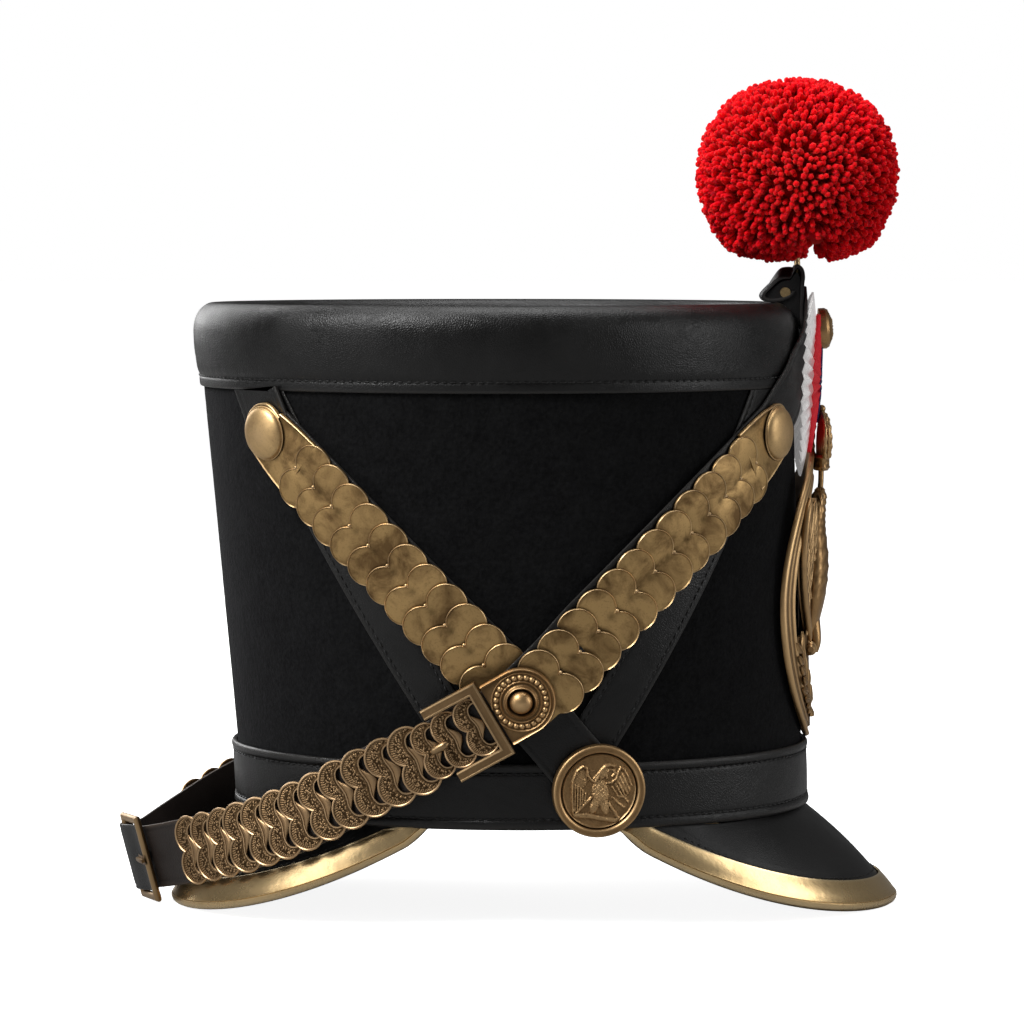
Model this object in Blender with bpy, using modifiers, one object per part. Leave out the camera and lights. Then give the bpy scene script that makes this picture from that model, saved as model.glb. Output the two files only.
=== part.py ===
"""A shako hat: a felt crown with leather bands, two brass-bound peaks, scale chains, a chin strap and a pompom.

Lengths below are in millimetres and are made metres when a mesh is written. The front of the hat faces +X, the
wearer's right is -Y, and the peaks rest on the plane z = 0.
"""

import math
from collections import namedtuple

import bmesh
import bpy
from mathutils import Matrix, Vector

MM = 0.001
FIT_GAP = 0.3  # clearance between touching pieces
MERGE = 0.0001  # in metres, for modifiers that merge
SIDES = (("right", -1), ("left", 1))

# ---------------------------------------------------------------- driving sizes
HAT_SHIFT = 5.1  # puts the middle of the hat's length on the origin

# Crown: the felt's outer face. Its front and rear lines lean back as they rise.
BAND_BOTTOM = 37.5
BAND_TOP = 61.2
FRONT_AT_BAND = 104.8
REAR_AT_BAND = -106.0
FRONT_LEAN = -0.026
REAR_LEAN = -0.0915
REAR_LEAN_LOW = -0.050  # below the top of the lower band
WIDTH_LOW_HEIGHT = 37.0
WIDTH_HIGH_HEIGHT = 211.0
HALF_WIDTH_LOW = 86.5
HALF_WIDTH_HIGH = 108.0
RING_STEPS = 48
FELT_WALL = 3.0
FELT_BOTTOM = 38.2
FELT_TOP = 213.8
BAND_LEATHER = 1.5
TOP_BAND_EDGE = 193.3
DISC_BOTTOM = 207.5
DISC_THICKNESS = 2.0
RIM_INSIDE = -10.4

# Peaks: the rim is a bead round the leather's edge, and its lowest line is the one the hat rests on.
BEAD = 2.4
END_TAPER = 0.2  # the bindings' ends draw in under the band
PEAK_LEATHER = 2.4
BINDING_SHEET = 0.8
BINDING_TOP_WIDTH = 9.0
BINDING_UNDER_WIDTH = 6.0
PEAK_INNER_PROUD = -0.9
PEAK_INNER_HEIGHT = 36.2
PEAK_STEPS = 32
Peak = namedtuple("Peak", "name sign reach half_width end_x end_height drop_power bulge")
PEAKS = (
    Peak("front", 1, 138.6, 83.8, 34.0, 34.6, 1.85, 1.5),
    Peak("rear", -1, 128.8, 84.0, 31.5, 36.3, 1.62, 1.0),
)

# Leather V on each side: the angles are measured round the crown from the front.
CHEVRON_LEATHER = 0.8
Chevron = namedtuple("Chevron", "name low_rear low_front high_rear high_front")
CHEVRONS = (
    Chevron("rear", 103.8, 93.7, 145.6, 133.6),
    Chevron("front", 84.3, 73.0, 34.8, 23.4),
)

# Side straps and chains
STRAP_PROUD = 1.7
STRAP_LEATHER = 1.3
STRAP_HALF_WIDTH = 11.0
CROSSING_X = -0.2
CROSSING_HEIGHT = 84.9
CROSSING_LIFT = 3.7  # the front strap rides over the rear chain
LIFT_FLAT = 15.0
LIFT_RAMP = 22.0
REAR_STUD_X = -90.2
REAR_STUD_HEIGHT = 178.6
FRONT_STUD_X = 90.8
FRONT_STUD_HEIGHT = 177.2
BUTTON_X = 27.0
BUTTON_HEIGHT = 52.2
SCALE_PITCH = 9.6
SCALE_LOW = 0.7
SCALE_HIGH = 1.4
PLATE_LENGTH = 20.0
PLATE_SHEET = 1.2
YOKE_PROUD = 2.7
YOKE_TIP_PROUD = 4.6
YOKE_FRONT_HEIGHT = 215.0

# Chin strap: the line of its inner face on one side, from the crossing round to the back.
CHIN_LEATHER = 1.6
CHIN_NARROW = 10.1
CHIN_WIDE = 12.0
CHIN_TILT_START = 7.0
CHIN_TILT_MIDDLE = 4.0
CHIN_TILT_BACK = 14.5
CHIN_PITCH = 10.6
CHIN_MEET = 0.5
ChinPoint = namedtuple("ChinPoint", "x side near_height far_height")
CHIN_ROUTE = (
    ChinPoint(3.0, 100.4, 86.7, 86.7),
    ChinPoint(-18.5, 97.5, 74.4, 75.6),
    ChinPoint(-38.0, 91.9, 62.8, 66.2),
    ChinPoint(-56.0, 85.0, 53.5, 58.6),
    ChinPoint(-72.3, 76.4, 43.8, 51.2),
    ChinPoint(-87.7, 64.8, 35.8, 43.4),
    ChinPoint(-102.8, 51.4, 29.4, 37.3),
    ChinPoint(-115.9, 36.8, 24.4, 31.4),
    ChinPoint(-127.4, 22.4, 20.4, 24.8),
    ChinPoint(-136.9, 11.2, 17.6, 19.0),
    ChinPoint(-140.3, 4.0, 16.8, 17.6),
    ChinPoint(-141.0, 0.0, 16.7, 16.7),
)
BUCKLE_DISTANCE = 25.3  # middle of the side buckle from the route's first point
BUCKLE_LENGTH = 22.3
BUCKLE_WIDTH = 29.3
BUCKLE_BAR = 4.0
BUCKLE_SHEET = 2.2
CHIN_SCALES_END = 168.0

# Rear buckle: its two upright bars
NEAR_BAR = Vector((-139.2, -14.0, 16.8))
FAR_BAR = Vector((-145.6, 3.4, 16.0))
REAR_BAR = 2.3
REAR_BUCKLE_HEIGHT = 31.5

# Cockade
COCKADE_HEIGHT = 193.2
COCKADE_FRONT = 109.4
COCKADE_RADIUS = 34.0
COCKADE_BOW_SIDE = 82.0
COCKADE_BOW_UP = 150.0
COCKADE_TILT = 0.060
COCKADE_SHEET = 1.0

# Front plate
PLATE_HEIGHT = 115.2
PLATE_HALF_WIDTH = 42.5
PLATE_HALF_HEIGHT = 51.8
PLATE_BEND = 0.93
PLATE_RIM_SHEET = 2.3
PLATE_STEPS = 40
LAUREL_TOP = 98.0

# Pompom and its loop
POMPOM_X = 102.8
PomRow = namedtuple("PomRow", "radius height")
POMPOM = (
    PomRow(0.0, 307.0),
    PomRow(9.1, 306.3),
    PomRow(17.0, 303.9),
    PomRow(23.4, 300.4),
    PomRow(29.9, 294.4),
    PomRow(33.7, 288.5),
    PomRow(36.0, 282.5),
    PomRow(37.5, 275.0),
    PomRow(37.8, 270.0),
    PomRow(37.3, 264.6),
    PomRow(35.6, 258.7),
    PomRow(32.8, 252.7),
    PomRow(29.5, 246.8),
    PomRow(25.0, 243.0),
    PomRow(17.0, 240.2),
    PomRow(9.0, 238.9),
    PomRow(2.2, 240.6),
)
STEM_RADIUS = 1.1
STEM_TOP = 243.2
LOOP_HALF_WIDTH = 8.0
LOOP_LEATHER = 1.5


# ---------------------------------------------------------------- scene and materials
def clear_scene():
    for old in list(bpy.data.objects):
        bpy.data.objects.remove(old)


def new_collection(name):
    collection = bpy.data.collections.new(name)
    bpy.context.scene.collection.children.link(collection)
    return collection


def principled(name, colour, roughness, metallic=0.0):
    material = bpy.data.materials.new(name)
    material.use_nodes = True
    shader = material.node_tree.nodes["Principled BSDF"]
    shader.inputs["Base Color"].default_value = (*colour, 1.0)
    shader.inputs["Roughness"].default_value = roughness
    shader.inputs["Metallic"].default_value = metallic
    material.diffuse_color = (*colour, 1.0)
    return material


clear_scene()
HAT = new_collection("shako_hat")
CUTTERS = new_collection("cutters")
ORIGIN = bpy.data.objects.new("hat_origin", None)
ORIGIN.location = (HAT_SHIFT * MM, 0.0, 0.0)
HAT.objects.link(ORIGIN)

FINISHES = {
    "felt": ((0.012, 0.012, 0.013), 0.95, 0.0),
    "leather": ((0.025, 0.024, 0.024), 0.45, 0.0),
    "brown_leather": ((0.040, 0.028, 0.022), 0.50, 0.0),
    "aged_brass": ((0.330, 0.215, 0.100), 0.42, 1.0),
    "bright_brass": ((0.560, 0.410, 0.180), 0.22, 1.0),
    "white_cloth": ((0.820, 0.810, 0.800), 0.85, 0.0),
    "red_cloth": ((0.600, 0.020, 0.030), 0.85, 0.0),
    "blue_cloth": ((0.020, 0.020, 0.110), 0.85, 0.0),
    "red_wool": ((0.620, 0.010, 0.015), 0.95, 0.0),
}


# ---------------------------------------------------------------- mesh helpers
def add_object(name, points, faces, finish, collection=None):
    """A mesh object of its own material; its points are given in millimetres."""
    mesh = bpy.data.meshes.new(name)
    mesh.from_pydata([Vector(point) * MM for point in points], [], faces)
    mesh.validate()
    piece = bpy.data.objects.new(name, mesh)
    if finish:
        mesh.materials.append(principled(name, *FINISHES[finish]))
    (collection or HAT).objects.link(piece)
    piece.parent = ORIGIN
    return piece


def smooth(piece, angle=40.0):
    piece.data.shade_smooth()
    piece.data.set_sharp_from_angle(angle=math.radians(angle))
    return piece


def face_outwards(piece):
    shape = bmesh.new()
    shape.from_mesh(piece.data)
    bmesh.ops.recalc_face_normals(shape, faces=shape.faces)
    shape.to_mesh(piece.data)
    shape.free()


def grid_faces(row_count, column_count, closed):
    """Quads between rows of points. A closed grid joins its last column to its first."""
    faces = []
    spans = column_count if closed else column_count - 1
    for row in range(row_count - 1):
        for column in range(spans):
            after = (column + 1) % column_count
            low = row * column_count
            high = low + column_count
            faces.append((low + column, low + after, high + after, high + column))
    return faces


def sheet(name, rows, thickness, finish, closed=False, inwards=False):
    """An open surface through rows of points, thickened to one side by Solidify."""
    points = [point for row in rows for point in row]
    faces = grid_faces(len(rows), len(rows[0]), closed)
    piece = smooth(add_object(name, points, faces, finish))
    wall = piece.modifiers.new("wall", "SOLIDIFY")
    wall.thickness = thickness * MM
    wall.offset = -1.0 if inwards else 1.0
    wall.use_even_offset = True
    return piece


def loft(name, sections, finish, closed=False, collection=None):
    """A solid through unlike sections of the same number of points."""
    points = [point for section in sections for point in section]
    count = len(sections[0])
    faces = grid_faces(len(sections), count, True)
    last = len(points) - count
    if closed:
        for column in range(count):
            after = (column + 1) % count
            faces.append((last + column, last + after, after, column))
    else:
        faces.append(tuple(range(count)))
        faces.append(tuple(range(last, last + count)))
    piece = add_object(name, points, faces, finish, collection)
    face_outwards(piece)
    return smooth(piece)


def turned(name, profile, place, axis, finish, steps=20, collection=None):
    """A turned shape. The profile lists (radius, height), down its outer side from top to bottom."""
    points = [(radius, 0.0, height) for radius, height in profile]
    edges = [(index, index + 1) for index in range(len(points) - 1)]
    mesh = bpy.data.meshes.new(name)
    mesh.from_pydata([Vector(point) * MM for point in points], edges, [])
    piece = bpy.data.objects.new(name, mesh)
    if finish:
        mesh.materials.append(principled(name, *FINISHES[finish]))
    (collection or HAT).objects.link(piece)
    piece.parent = ORIGIN
    piece.location = Vector(place) * MM
    piece.rotation_mode = "QUATERNION"
    piece.rotation_quaternion = Vector(axis).to_track_quat("Z", "Y")
    screw = piece.modifiers.new("turn", "SCREW")
    screw.steps = steps
    screw.render_steps = steps
    screw.use_merge_vertices = True
    screw.merge_threshold = MERGE / 10
    screw.use_smooth_shade = True
    return piece


def combine(piece, other, operation):
    """Joins the other piece to this one, or cuts it away, and leaves it as a hidden cutter."""
    for owner in list(other.users_collection):
        owner.objects.unlink(other)
    CUTTERS.objects.link(other)
    other.hide_render = True
    other.display_type = "WIRE"
    step = piece.modifiers.new(other.name, "BOOLEAN")
    step.operation = operation
    step.object = other
    step.solver = "EXACT"
    return piece


def bent_strip(name, path, thickness, half_width, place, finish):
    """A strip bent along a path in one plane; place turns (along, out, across) into a point."""
    sections = []
    for index, point in enumerate(path):
        before = Vector(path[max(index - 1, 0)])
        after = Vector(path[min(index + 1, len(path) - 1)])
        along = (after - before).normalized()
        square = Vector((-along.y, along.x))
        section = []
        for out, across in ((-1, -1), (1, -1), (1, 1), (-1, 1)):
            edge = Vector(point) + square * (out * thickness / 2)
            section.append(place(edge.x, edge.y, across * half_width))
        sections.append(section)
    return loft(name, sections, finish)


def frame_ring(name, middle, along, across, outward, size, bar, thickness, finish):
    """A rectangular frame of four mitred bars."""
    sections = []
    for sign_along, sign_across in ((-1, -1), (1, -1), (1, 1), (-1, 1)):
        section = []
        for inset, level in ((0.0, 0.0), (0.0, thickness), (bar, thickness), (bar, 0.0)):
            reach = size[0] / 2 - inset
            spread = size[1] / 2 - inset
            point = middle + along * (sign_along * reach) + across * (sign_across * spread)
            section.append(point + outward * level)
        sections.append(section)
    piece = loft(name, sections, finish, closed=True)
    edge = piece.modifiers.new("edge", "BEVEL")
    edge.width = 0.4 * MM
    edge.segments = 1
    return piece


# ---------------------------------------------------------------- crown geometry
def oval(height, proud=0.0):
    """The crown's outline at a height: its middle, half length and half width."""
    front = FRONT_AT_BAND + FRONT_LEAN * (height - BAND_TOP)
    rear_lean = REAR_LEAN if height > BAND_TOP else REAR_LEAN_LOW
    rear = REAR_AT_BAND + rear_lean * (height - BAND_TOP)
    share = (height - WIDTH_LOW_HEIGHT) / (WIDTH_HIGH_HEIGHT - WIDTH_LOW_HEIGHT)
    half_width = HALF_WIDTH_LOW + (HALF_WIDTH_HIGH - HALF_WIDTH_LOW) * share
    return (front + rear) / 2, (front - rear) / 2 + proud, half_width + proud


def wall_point(angle, height, proud=0.0, side=1):
    """A point on the crown by its angle from the front, in degrees."""
    middle, half_length, half_width = oval(height, proud)
    turn = math.radians(angle)
    return Vector((middle + half_length * math.cos(turn), side * half_width * math.sin(turn), height))


def wall_normal(angle, height, side=1):
    """The way the crown faces at a point."""
    round_it = wall_point(angle + 0.5, height, 0, side) - wall_point(angle - 0.5, height, 0, side)
    up_it = wall_point(angle, height + 1, 0, side) - wall_point(angle, height - 1, 0, side)
    return (round_it.cross(up_it) * side).normalized()


def wall_angle(x, height, proud=0.0):
    """The angle at which the crown reaches x at a height."""
    middle, half_length, _ = oval(height, proud)
    return math.degrees(math.acos(max(-1.0, min(1.0, (x - middle) / half_length))))


def wall_front(side_offset, height, proud=0.0):
    """How far forward the crown reaches at a distance from the middle plane."""
    middle, half_length, half_width = oval(height, proud)
    return middle + half_length * math.sqrt(1 - (side_offset / half_width) ** 2)


def ring(height, proud):
    """One closed row of points round the crown."""
    return [wall_point(360 * step / RING_STEPS, height, proud) for step in range(RING_STEPS)]


# ---------------------------------------------------------------- routes
Spot = namedtuple("Spot", "point along across outward")


class Route:
    """A line read by its length: where it is, which way it runs and which way its strap faces."""

    def __init__(self, points, normals):
        self.points = points
        self.normals = normals
        self.lengths = [0.0]
        for before, after in zip(points, points[1:]):
            self.lengths.append(self.lengths[-1] + (after - before).length)

    @property
    def length(self):
        return self.lengths[-1]

    def read(self, values, distance):
        """A value along the route; it is carried on straight past either end."""
        index = 0
        while index < len(self.lengths) - 2 and self.lengths[index + 1] < distance:
            index += 1
        span = self.lengths[index + 1] - self.lengths[index]
        share = (distance - self.lengths[index]) / span
        return values[index].lerp(values[index + 1], share)

    def spot(self, distance, lift=0.0):
        reach = 2.0
        before = self.read(self.points, distance - reach)
        along = (self.read(self.points, distance + reach) - before).normalized()
        outward = self.read(self.normals, distance)
        outward = (outward - along * outward.dot(along)).normalized()
        return Spot(self.read(self.points, distance) + outward * lift, along, along.cross(outward), outward)


def smooth_step(share):
    share = max(0.0, min(1.0, share))
    return share * share * (3 - 2 * share)


def spline(points, steps_per_span=8):
    """A smooth line through points, each span a cubic that matches its neighbours' slopes."""
    ends = [points[0] * 2 - points[1], *points, points[-1] * 2 - points[-2]]
    line = []
    for index in range(1, len(ends) - 2):
        a, b, c, d = ends[index - 1 : index + 3]
        for step in range(steps_per_span):
            t = step / steps_per_span
            line.append(
                b
                + (c - a) * (t / 2)
                + (a * 2 - b * 5 + c * 4 - d) * (t * t / 2)
                + (b * 3 - a - c * 3 + d) * (t * t * t / 2)
            )
    line.append(points[-1])
    return line


def wall_route(stops, side):
    """A route on the crown through (angle, height) stops."""
    points = [wall_point(angle, height, 0, side) for angle, height in stops]
    normals = [wall_normal(angle, height, side) for angle, height in stops]
    return Route(points, normals)


def straight_stops(start, end, proud, steps=24):
    """Stops that look straight from the side, between two (x, height) ends."""
    stops = []
    for step in range(steps + 1):
        share = step / steps
        x = start[0] + (end[0] - start[0]) * share
        height = start[1] + (end[1] - start[1]) * share
        stops.append((wall_angle(x, height, proud), height))
    return stops


def rear_route(side):
    """From under the top band, past the stud and the crossing, to the side button."""
    proud = STRAP_PROUD + STRAP_LEATHER
    stud = (REAR_STUD_X, REAR_STUD_HEIGHT)
    crossing = (CROSSING_X, CROSSING_HEIGHT)
    top = straight_stops((-96.5, TOP_BAND_EDGE + 2), stud, proud, 6)
    middle = straight_stops(stud, crossing, proud)
    low = straight_stops(crossing, (BUTTON_X, BUTTON_HEIGHT), proud, 8)
    return wall_route(top[:-1] + middle[:-1] + low, side)


def front_route(side):
    """From past the crossing, up past the stud, to the middle of the front."""
    proud = STRAP_PROUD + STRAP_LEATHER
    crossing = (CROSSING_X, CROSSING_HEIGHT)
    stud = (FRONT_STUD_X, FRONT_STUD_HEIGHT)
    start = (CROSSING_X - 8, CROSSING_HEIGHT - 8)
    stops = straight_stops(start, crossing, proud, 4)[:-1] + straight_stops(crossing, stud, proud)
    stud_angle, stud_height = stops[-1]
    steps = 12
    for step in range(1, steps + 1):
        share = step / steps
        height = stud_height + (YOKE_FRONT_HEIGHT - stud_height) * share
        stops.append((stud_angle * (1 - share), height))
    return wall_route(stops, side)


def distance_to(route, x, height):
    """The length at which a route passes nearest to a place seen from the side."""
    best = min(range(len(route.points)), key=lambda i: math.hypot(route.points[i].x - x, route.points[i].z - height))
    return route.lengths[best]


def chin_route(side):
    """The chin strap's inner face, tilting outwards at its top edge as it goes round the back."""
    stops = []
    for stop in CHIN_ROUTE:
        height = stop.far_height if side > 0 else stop.near_height
        stops.append(Vector((stop.x, side * stop.side, height)))
    line = spline(stops)
    normals = []
    for index, point in enumerate(line):
        before = line[max(index - 1, 0)]
        after = line[min(index + 1, len(line) - 1)]
        along = (after - before).normalized()
        if index == len(line) - 1:
            along = Vector((0, -side, 0))
        level = Vector((-side * along.y, side * along.x, 0)).normalized()
        if level.dot(Vector((point.x, point.y, 0))) < 0:
            level = -level
        upright = along.cross(level)
        if upright.z < 0:
            upright = -upright
        share = index / (len(line) - 1)
        easing = (CHIN_TILT_START - CHIN_TILT_MIDDLE) * smooth_step(share / 0.5)
        leaning = (CHIN_TILT_BACK - CHIN_TILT_MIDDLE) * smooth_step((share - 0.55) / 0.35)
        tilt = math.radians(CHIN_TILT_START - easing + leaning)
        normals.append(level * math.cos(tilt) - upright * math.sin(tilt))
    return Route(line, normals)


# ---------------------------------------------------------------- strips and chains
def trimmed(point, along, limit):
    """Slides a point along its strip until it meets a limit given as (axis, value)."""
    axis, value = limit
    return point + along * ((value - point[axis]) / along[axis])


def strap(name, route, distances, half_width, thickness, lift, finish, first_limit=None, last_limit=None):
    """A flat strip along a route. Half width and lift are functions of the distance."""
    rows = []
    for index, distance in enumerate(distances):
        spot = route.spot(distance, lift(distance))
        row = [spot.point - spot.across * half_width(distance), spot.point + spot.across * half_width(distance)]
        if index == 0 and first_limit:
            row = [trimmed(point, spot.along, first_limit) for point in row]
        if index == len(distances) - 1 and last_limit:
            row = [trimmed(point, spot.along, last_limit) for point in row]
        rows.append(row)
    return sheet(name, rows, thickness, finish)


def steps_between(start, end, count):
    return [start + (end - start) * index / count for index in range(count + 1)]


ScaleStop = namedtuple("ScaleStop", "after_rim half_width edge_top middle_top")
PLAIN_SCALE = (
    ScaleStop(-0.25, 12.2, SCALE_LOW, SCALE_LOW),
    ScaleStop(0.0, 12.2, SCALE_HIGH, SCALE_LOW),
    ScaleStop(2.2, 10.9, SCALE_HIGH, SCALE_HIGH),
    ScaleStop(6.4, 12.9, 1.0, 1.0),
)


def chain(name, route, stations, finish):
    """A chain as one solid; each station is (distance, half width, bottom, edge top, middle top)."""
    sections = []
    for distance, half_width, bottom, edge_top, middle_top in stations:
        spot = route.spot(distance)
        outline = (
            (-half_width, bottom),
            (half_width, bottom),
            (half_width, edge_top),
            (0.0, middle_top),
            (-half_width, edge_top),
        )
        sections.append([spot.point + spot.across * across + spot.outward * out for across, out in outline])
    return loft(name, sections, finish)


def plain_stations(first_rim, last, direction, lift):
    """Stations of a plain chain whose rims face the stud; the chain ends at last."""
    stations = []
    count = int(abs(last - first_rim) / SCALE_PITCH)
    for scale in range(count + 1):
        for stop in PLAIN_SCALE:
            run = scale * SCALE_PITCH + stop.after_rim
            if run < 0 or run > abs(last - first_rim):
                continue
            distance = first_rim + direction * run
            base = lift(distance)
            stations.append(
                (distance, stop.half_width, base, base + stop.edge_top, base + stop.middle_top)
            )
    return stations


PlateStop = namedtuple("PlateStop", "after_stud half_width")
END_PLATE = (
    PlateStop(-10.6, 3.4),
    PlateStop(-9.0, 6.8),
    PlateStop(-5.5, 9.4),
    PlateStop(0.0, 10.9),
    PlateStop(8.0, 11.9),
    PlateStop(PLATE_LENGTH - 0.6, 12.2),
)


def end_plate(name, route, stud_distance, direction, proud):
    """The rounded plate under a stud, tapering into the chain."""
    rows = []
    for stop in END_PLATE:
        spot = route.spot(stud_distance + direction * stop.after_stud, proud)
        across = spot.across * (stop.half_width * direction)
        rows.append([spot.point - across, spot.point + across])
    return sheet(name, rows, PLATE_SHEET, "aged_brass")


# ---------------------------------------------------------------- crown pieces
def make_crown():
    heights = (FELT_BOTTOM, BAND_TOP, 110.0, 160.0, FELT_TOP)
    sheet("felt_body", [ring(height, 0) for height in heights], FELT_WALL, "felt", closed=True, inwards=True)

    band_rows = [ring(height, FIT_GAP) for height in (BAND_BOTTOM, BAND_BOTTOM + 7, BAND_TOP - 7, BAND_TOP)]
    sheet("lower_band", band_rows, BAND_LEATHER, "leather", closed=True)

    # The band's section runs up the outside, over the padded rim, down the inside and back round the felt's edge.
    profile = (
        (1.0, TOP_BAND_EDGE),
        (1.5, 197.5),
        (2.0, 204.0),
        (2.2, 210.5),
        (1.9, 215.0),
        (0.3, 218.6),
        (-2.2, 221.6),
        (-5.4, 223.7),
        (-8.3, 222.5),
        (-10.0, 219.0),
        (RIM_INSIDE, 214.0),
        (RIM_INSIDE, DISC_BOTTOM - 0.5),
        (-FELT_WALL - FIT_GAP, DISC_BOTTOM - 0.5),
        (-FELT_WALL - FIT_GAP, FELT_TOP + 3 * FIT_GAP),
        (FIT_GAP, FELT_TOP + 3 * FIT_GAP),
        (FIT_GAP, TOP_BAND_EDGE),
    )
    sections = []
    for step in range(RING_STEPS):
        angle = 360 * step / RING_STEPS
        sections.append([wall_point(angle, height, proud) for proud, height in profile])
    loft("top_band", sections, "leather", closed=True)

    edge = [ring(height, RIM_INSIDE - FIT_GAP) for height in (DISC_BOTTOM, DISC_BOTTOM + DISC_THICKNESS)]
    loft("crown_top", edge, "leather")


def make_chevrons():
    heights = steps_between(BAND_TOP + FIT_GAP, TOP_BAND_EDGE - FIT_GAP, 16)
    for side_name, side in SIDES:
        for strip in CHEVRONS:
            rows = []
            for height in heights:
                share = (height - heights[0]) / (heights[-1] - heights[0])
                rear = strip.low_rear + (strip.high_rear - strip.low_rear) * share
                front = strip.low_front + (strip.high_front - strip.low_front) * share
                angles = steps_between(front, rear, 3)
                row = [wall_point(angle, height, 1.2 * FIT_GAP, side) for angle in angles]
                rows.append(row if side > 0 else row[::-1])
            sheet(f"side_chevron_{strip.name}_{side_name}", rows, CHEVRON_LEATHER, "leather")


# ---------------------------------------------------------------- peaks
def peak_lines(peak):
    """Matching points down the peak: its root under the band and the middle of its bead."""
    rim_end = math.degrees(math.acos(peak.end_x / peak.reach))
    _, half_length, _ = oval(PEAK_INNER_HEIGHT, PEAK_INNER_PROUD)
    root_end = math.degrees(math.acos((peak.end_x + 8) / half_length))
    reach = peak.reach + BEAD
    lines = []
    for step in range(PEAK_STEPS + 1):
        share = 2 * step / PEAK_STEPS - 1
        rim_turn = math.radians(rim_end * share)
        x = peak.reach * math.cos(rim_turn)
        drop = (reach - x * reach / peak.reach) / (reach - peak.end_x)
        size = END_TAPER if step in (0, PEAK_STEPS) else 1.0
        height = peak.end_height * drop**peak.drop_power + BEAD * size
        rim = Vector((peak.sign * x, peak.half_width * math.sin(rim_turn), height))
        root_angle = root_end * share
        if peak.sign < 0:
            root_angle = 180 - root_angle
        lines.append((wall_point(root_angle, PEAK_INNER_HEIGHT, PEAK_INNER_PROUD), rim, size))
    return lines


def make_peak(peak):
    lines = peak_lines(peak)
    leather = []
    binding = []
    for index, (root, rim, size) in enumerate(lines):
        inside = min(max(index, 1), len(lines) - 2)
        run = (lines[inside + 1][1] - lines[inside - 1][1]).normalized()
        slope = lines[inside][1] - lines[inside][0]
        outward = (slope.cross(run) * peak.sign).normalized()
        down = run.cross(outward).normalized() * peak.sign
        length = (rim - root).length
        share = 2 * index / PEAK_STEPS - 1
        bulge = peak.bulge * (1 - share * share)
        if size == 1.0:
            line = []
            for stop in steps_between(0.0, 1 - 0.5 / length, 5):
                line.append(root.lerp(rim, stop) + outward * (bulge * math.sin(math.pi * stop)))
            lift = outward * (PEAK_LEATHER / 2)
            leather.append([point + lift for point in line] + [point - lift for point in reversed(line)])

        inner = PEAK_LEATHER / 2 + FIT_GAP
        outer = inner + BINDING_SHEET
        top = min(BINDING_TOP_WIDTH - 2.5 * abs(share) ** 3, length - 1.8)
        under = min(BINDING_UNDER_WIDTH, length - 1.8)
        top_rise = bulge * math.sin(math.pi * top / length)
        under_rise = bulge * math.sin(math.pi * under / length)
        half = BEAD * math.sqrt(0.5)
        outline = (
            (-top, outer + top_rise),
            (0.0, BEAD),
            (half, half),
            (BEAD, 0.0),
            (half, -half),
            (0.0, -BEAD),
            (-under, under_rise - outer),
            (-under, under_rise - inner),
            (0.0, -inner),
            (0.0, inner),
            (-top, inner + top_rise),
        )
        binding.append([rim + (down * along + outward * out) * size for along, out in outline])
    loft(f"{peak.name}_peak", leather, "leather")
    loft(f"{peak.name}_peak_binding", binding, "bright_brass")


# ---------------------------------------------------------------- side straps and chains
def rear_lift(distance, crossing):
    """The rear strap rises a little to lie on the lower band."""
    return STRAP_PROUD + 0.9 * smooth_step((distance - crossing - 8) / 14)


def front_lift(distance, crossing, stud, end):
    """The front strap rides over the rear chain at one end and over the top band at the other."""
    past = max(0.0, abs(distance - crossing) - LIFT_FLAT)
    over_chain = CROSSING_LIFT * (1 - smooth_step(past / LIFT_RAMP))
    over_band = (YOKE_PROUD - STRAP_PROUD) * smooth_step((distance - stud - 9) / 16)
    over_loop = (YOKE_TIP_PROUD - YOKE_PROUD) * smooth_step((distance - end + 34) / 16)
    return STRAP_PROUD + over_chain + over_band + over_loop


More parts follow.
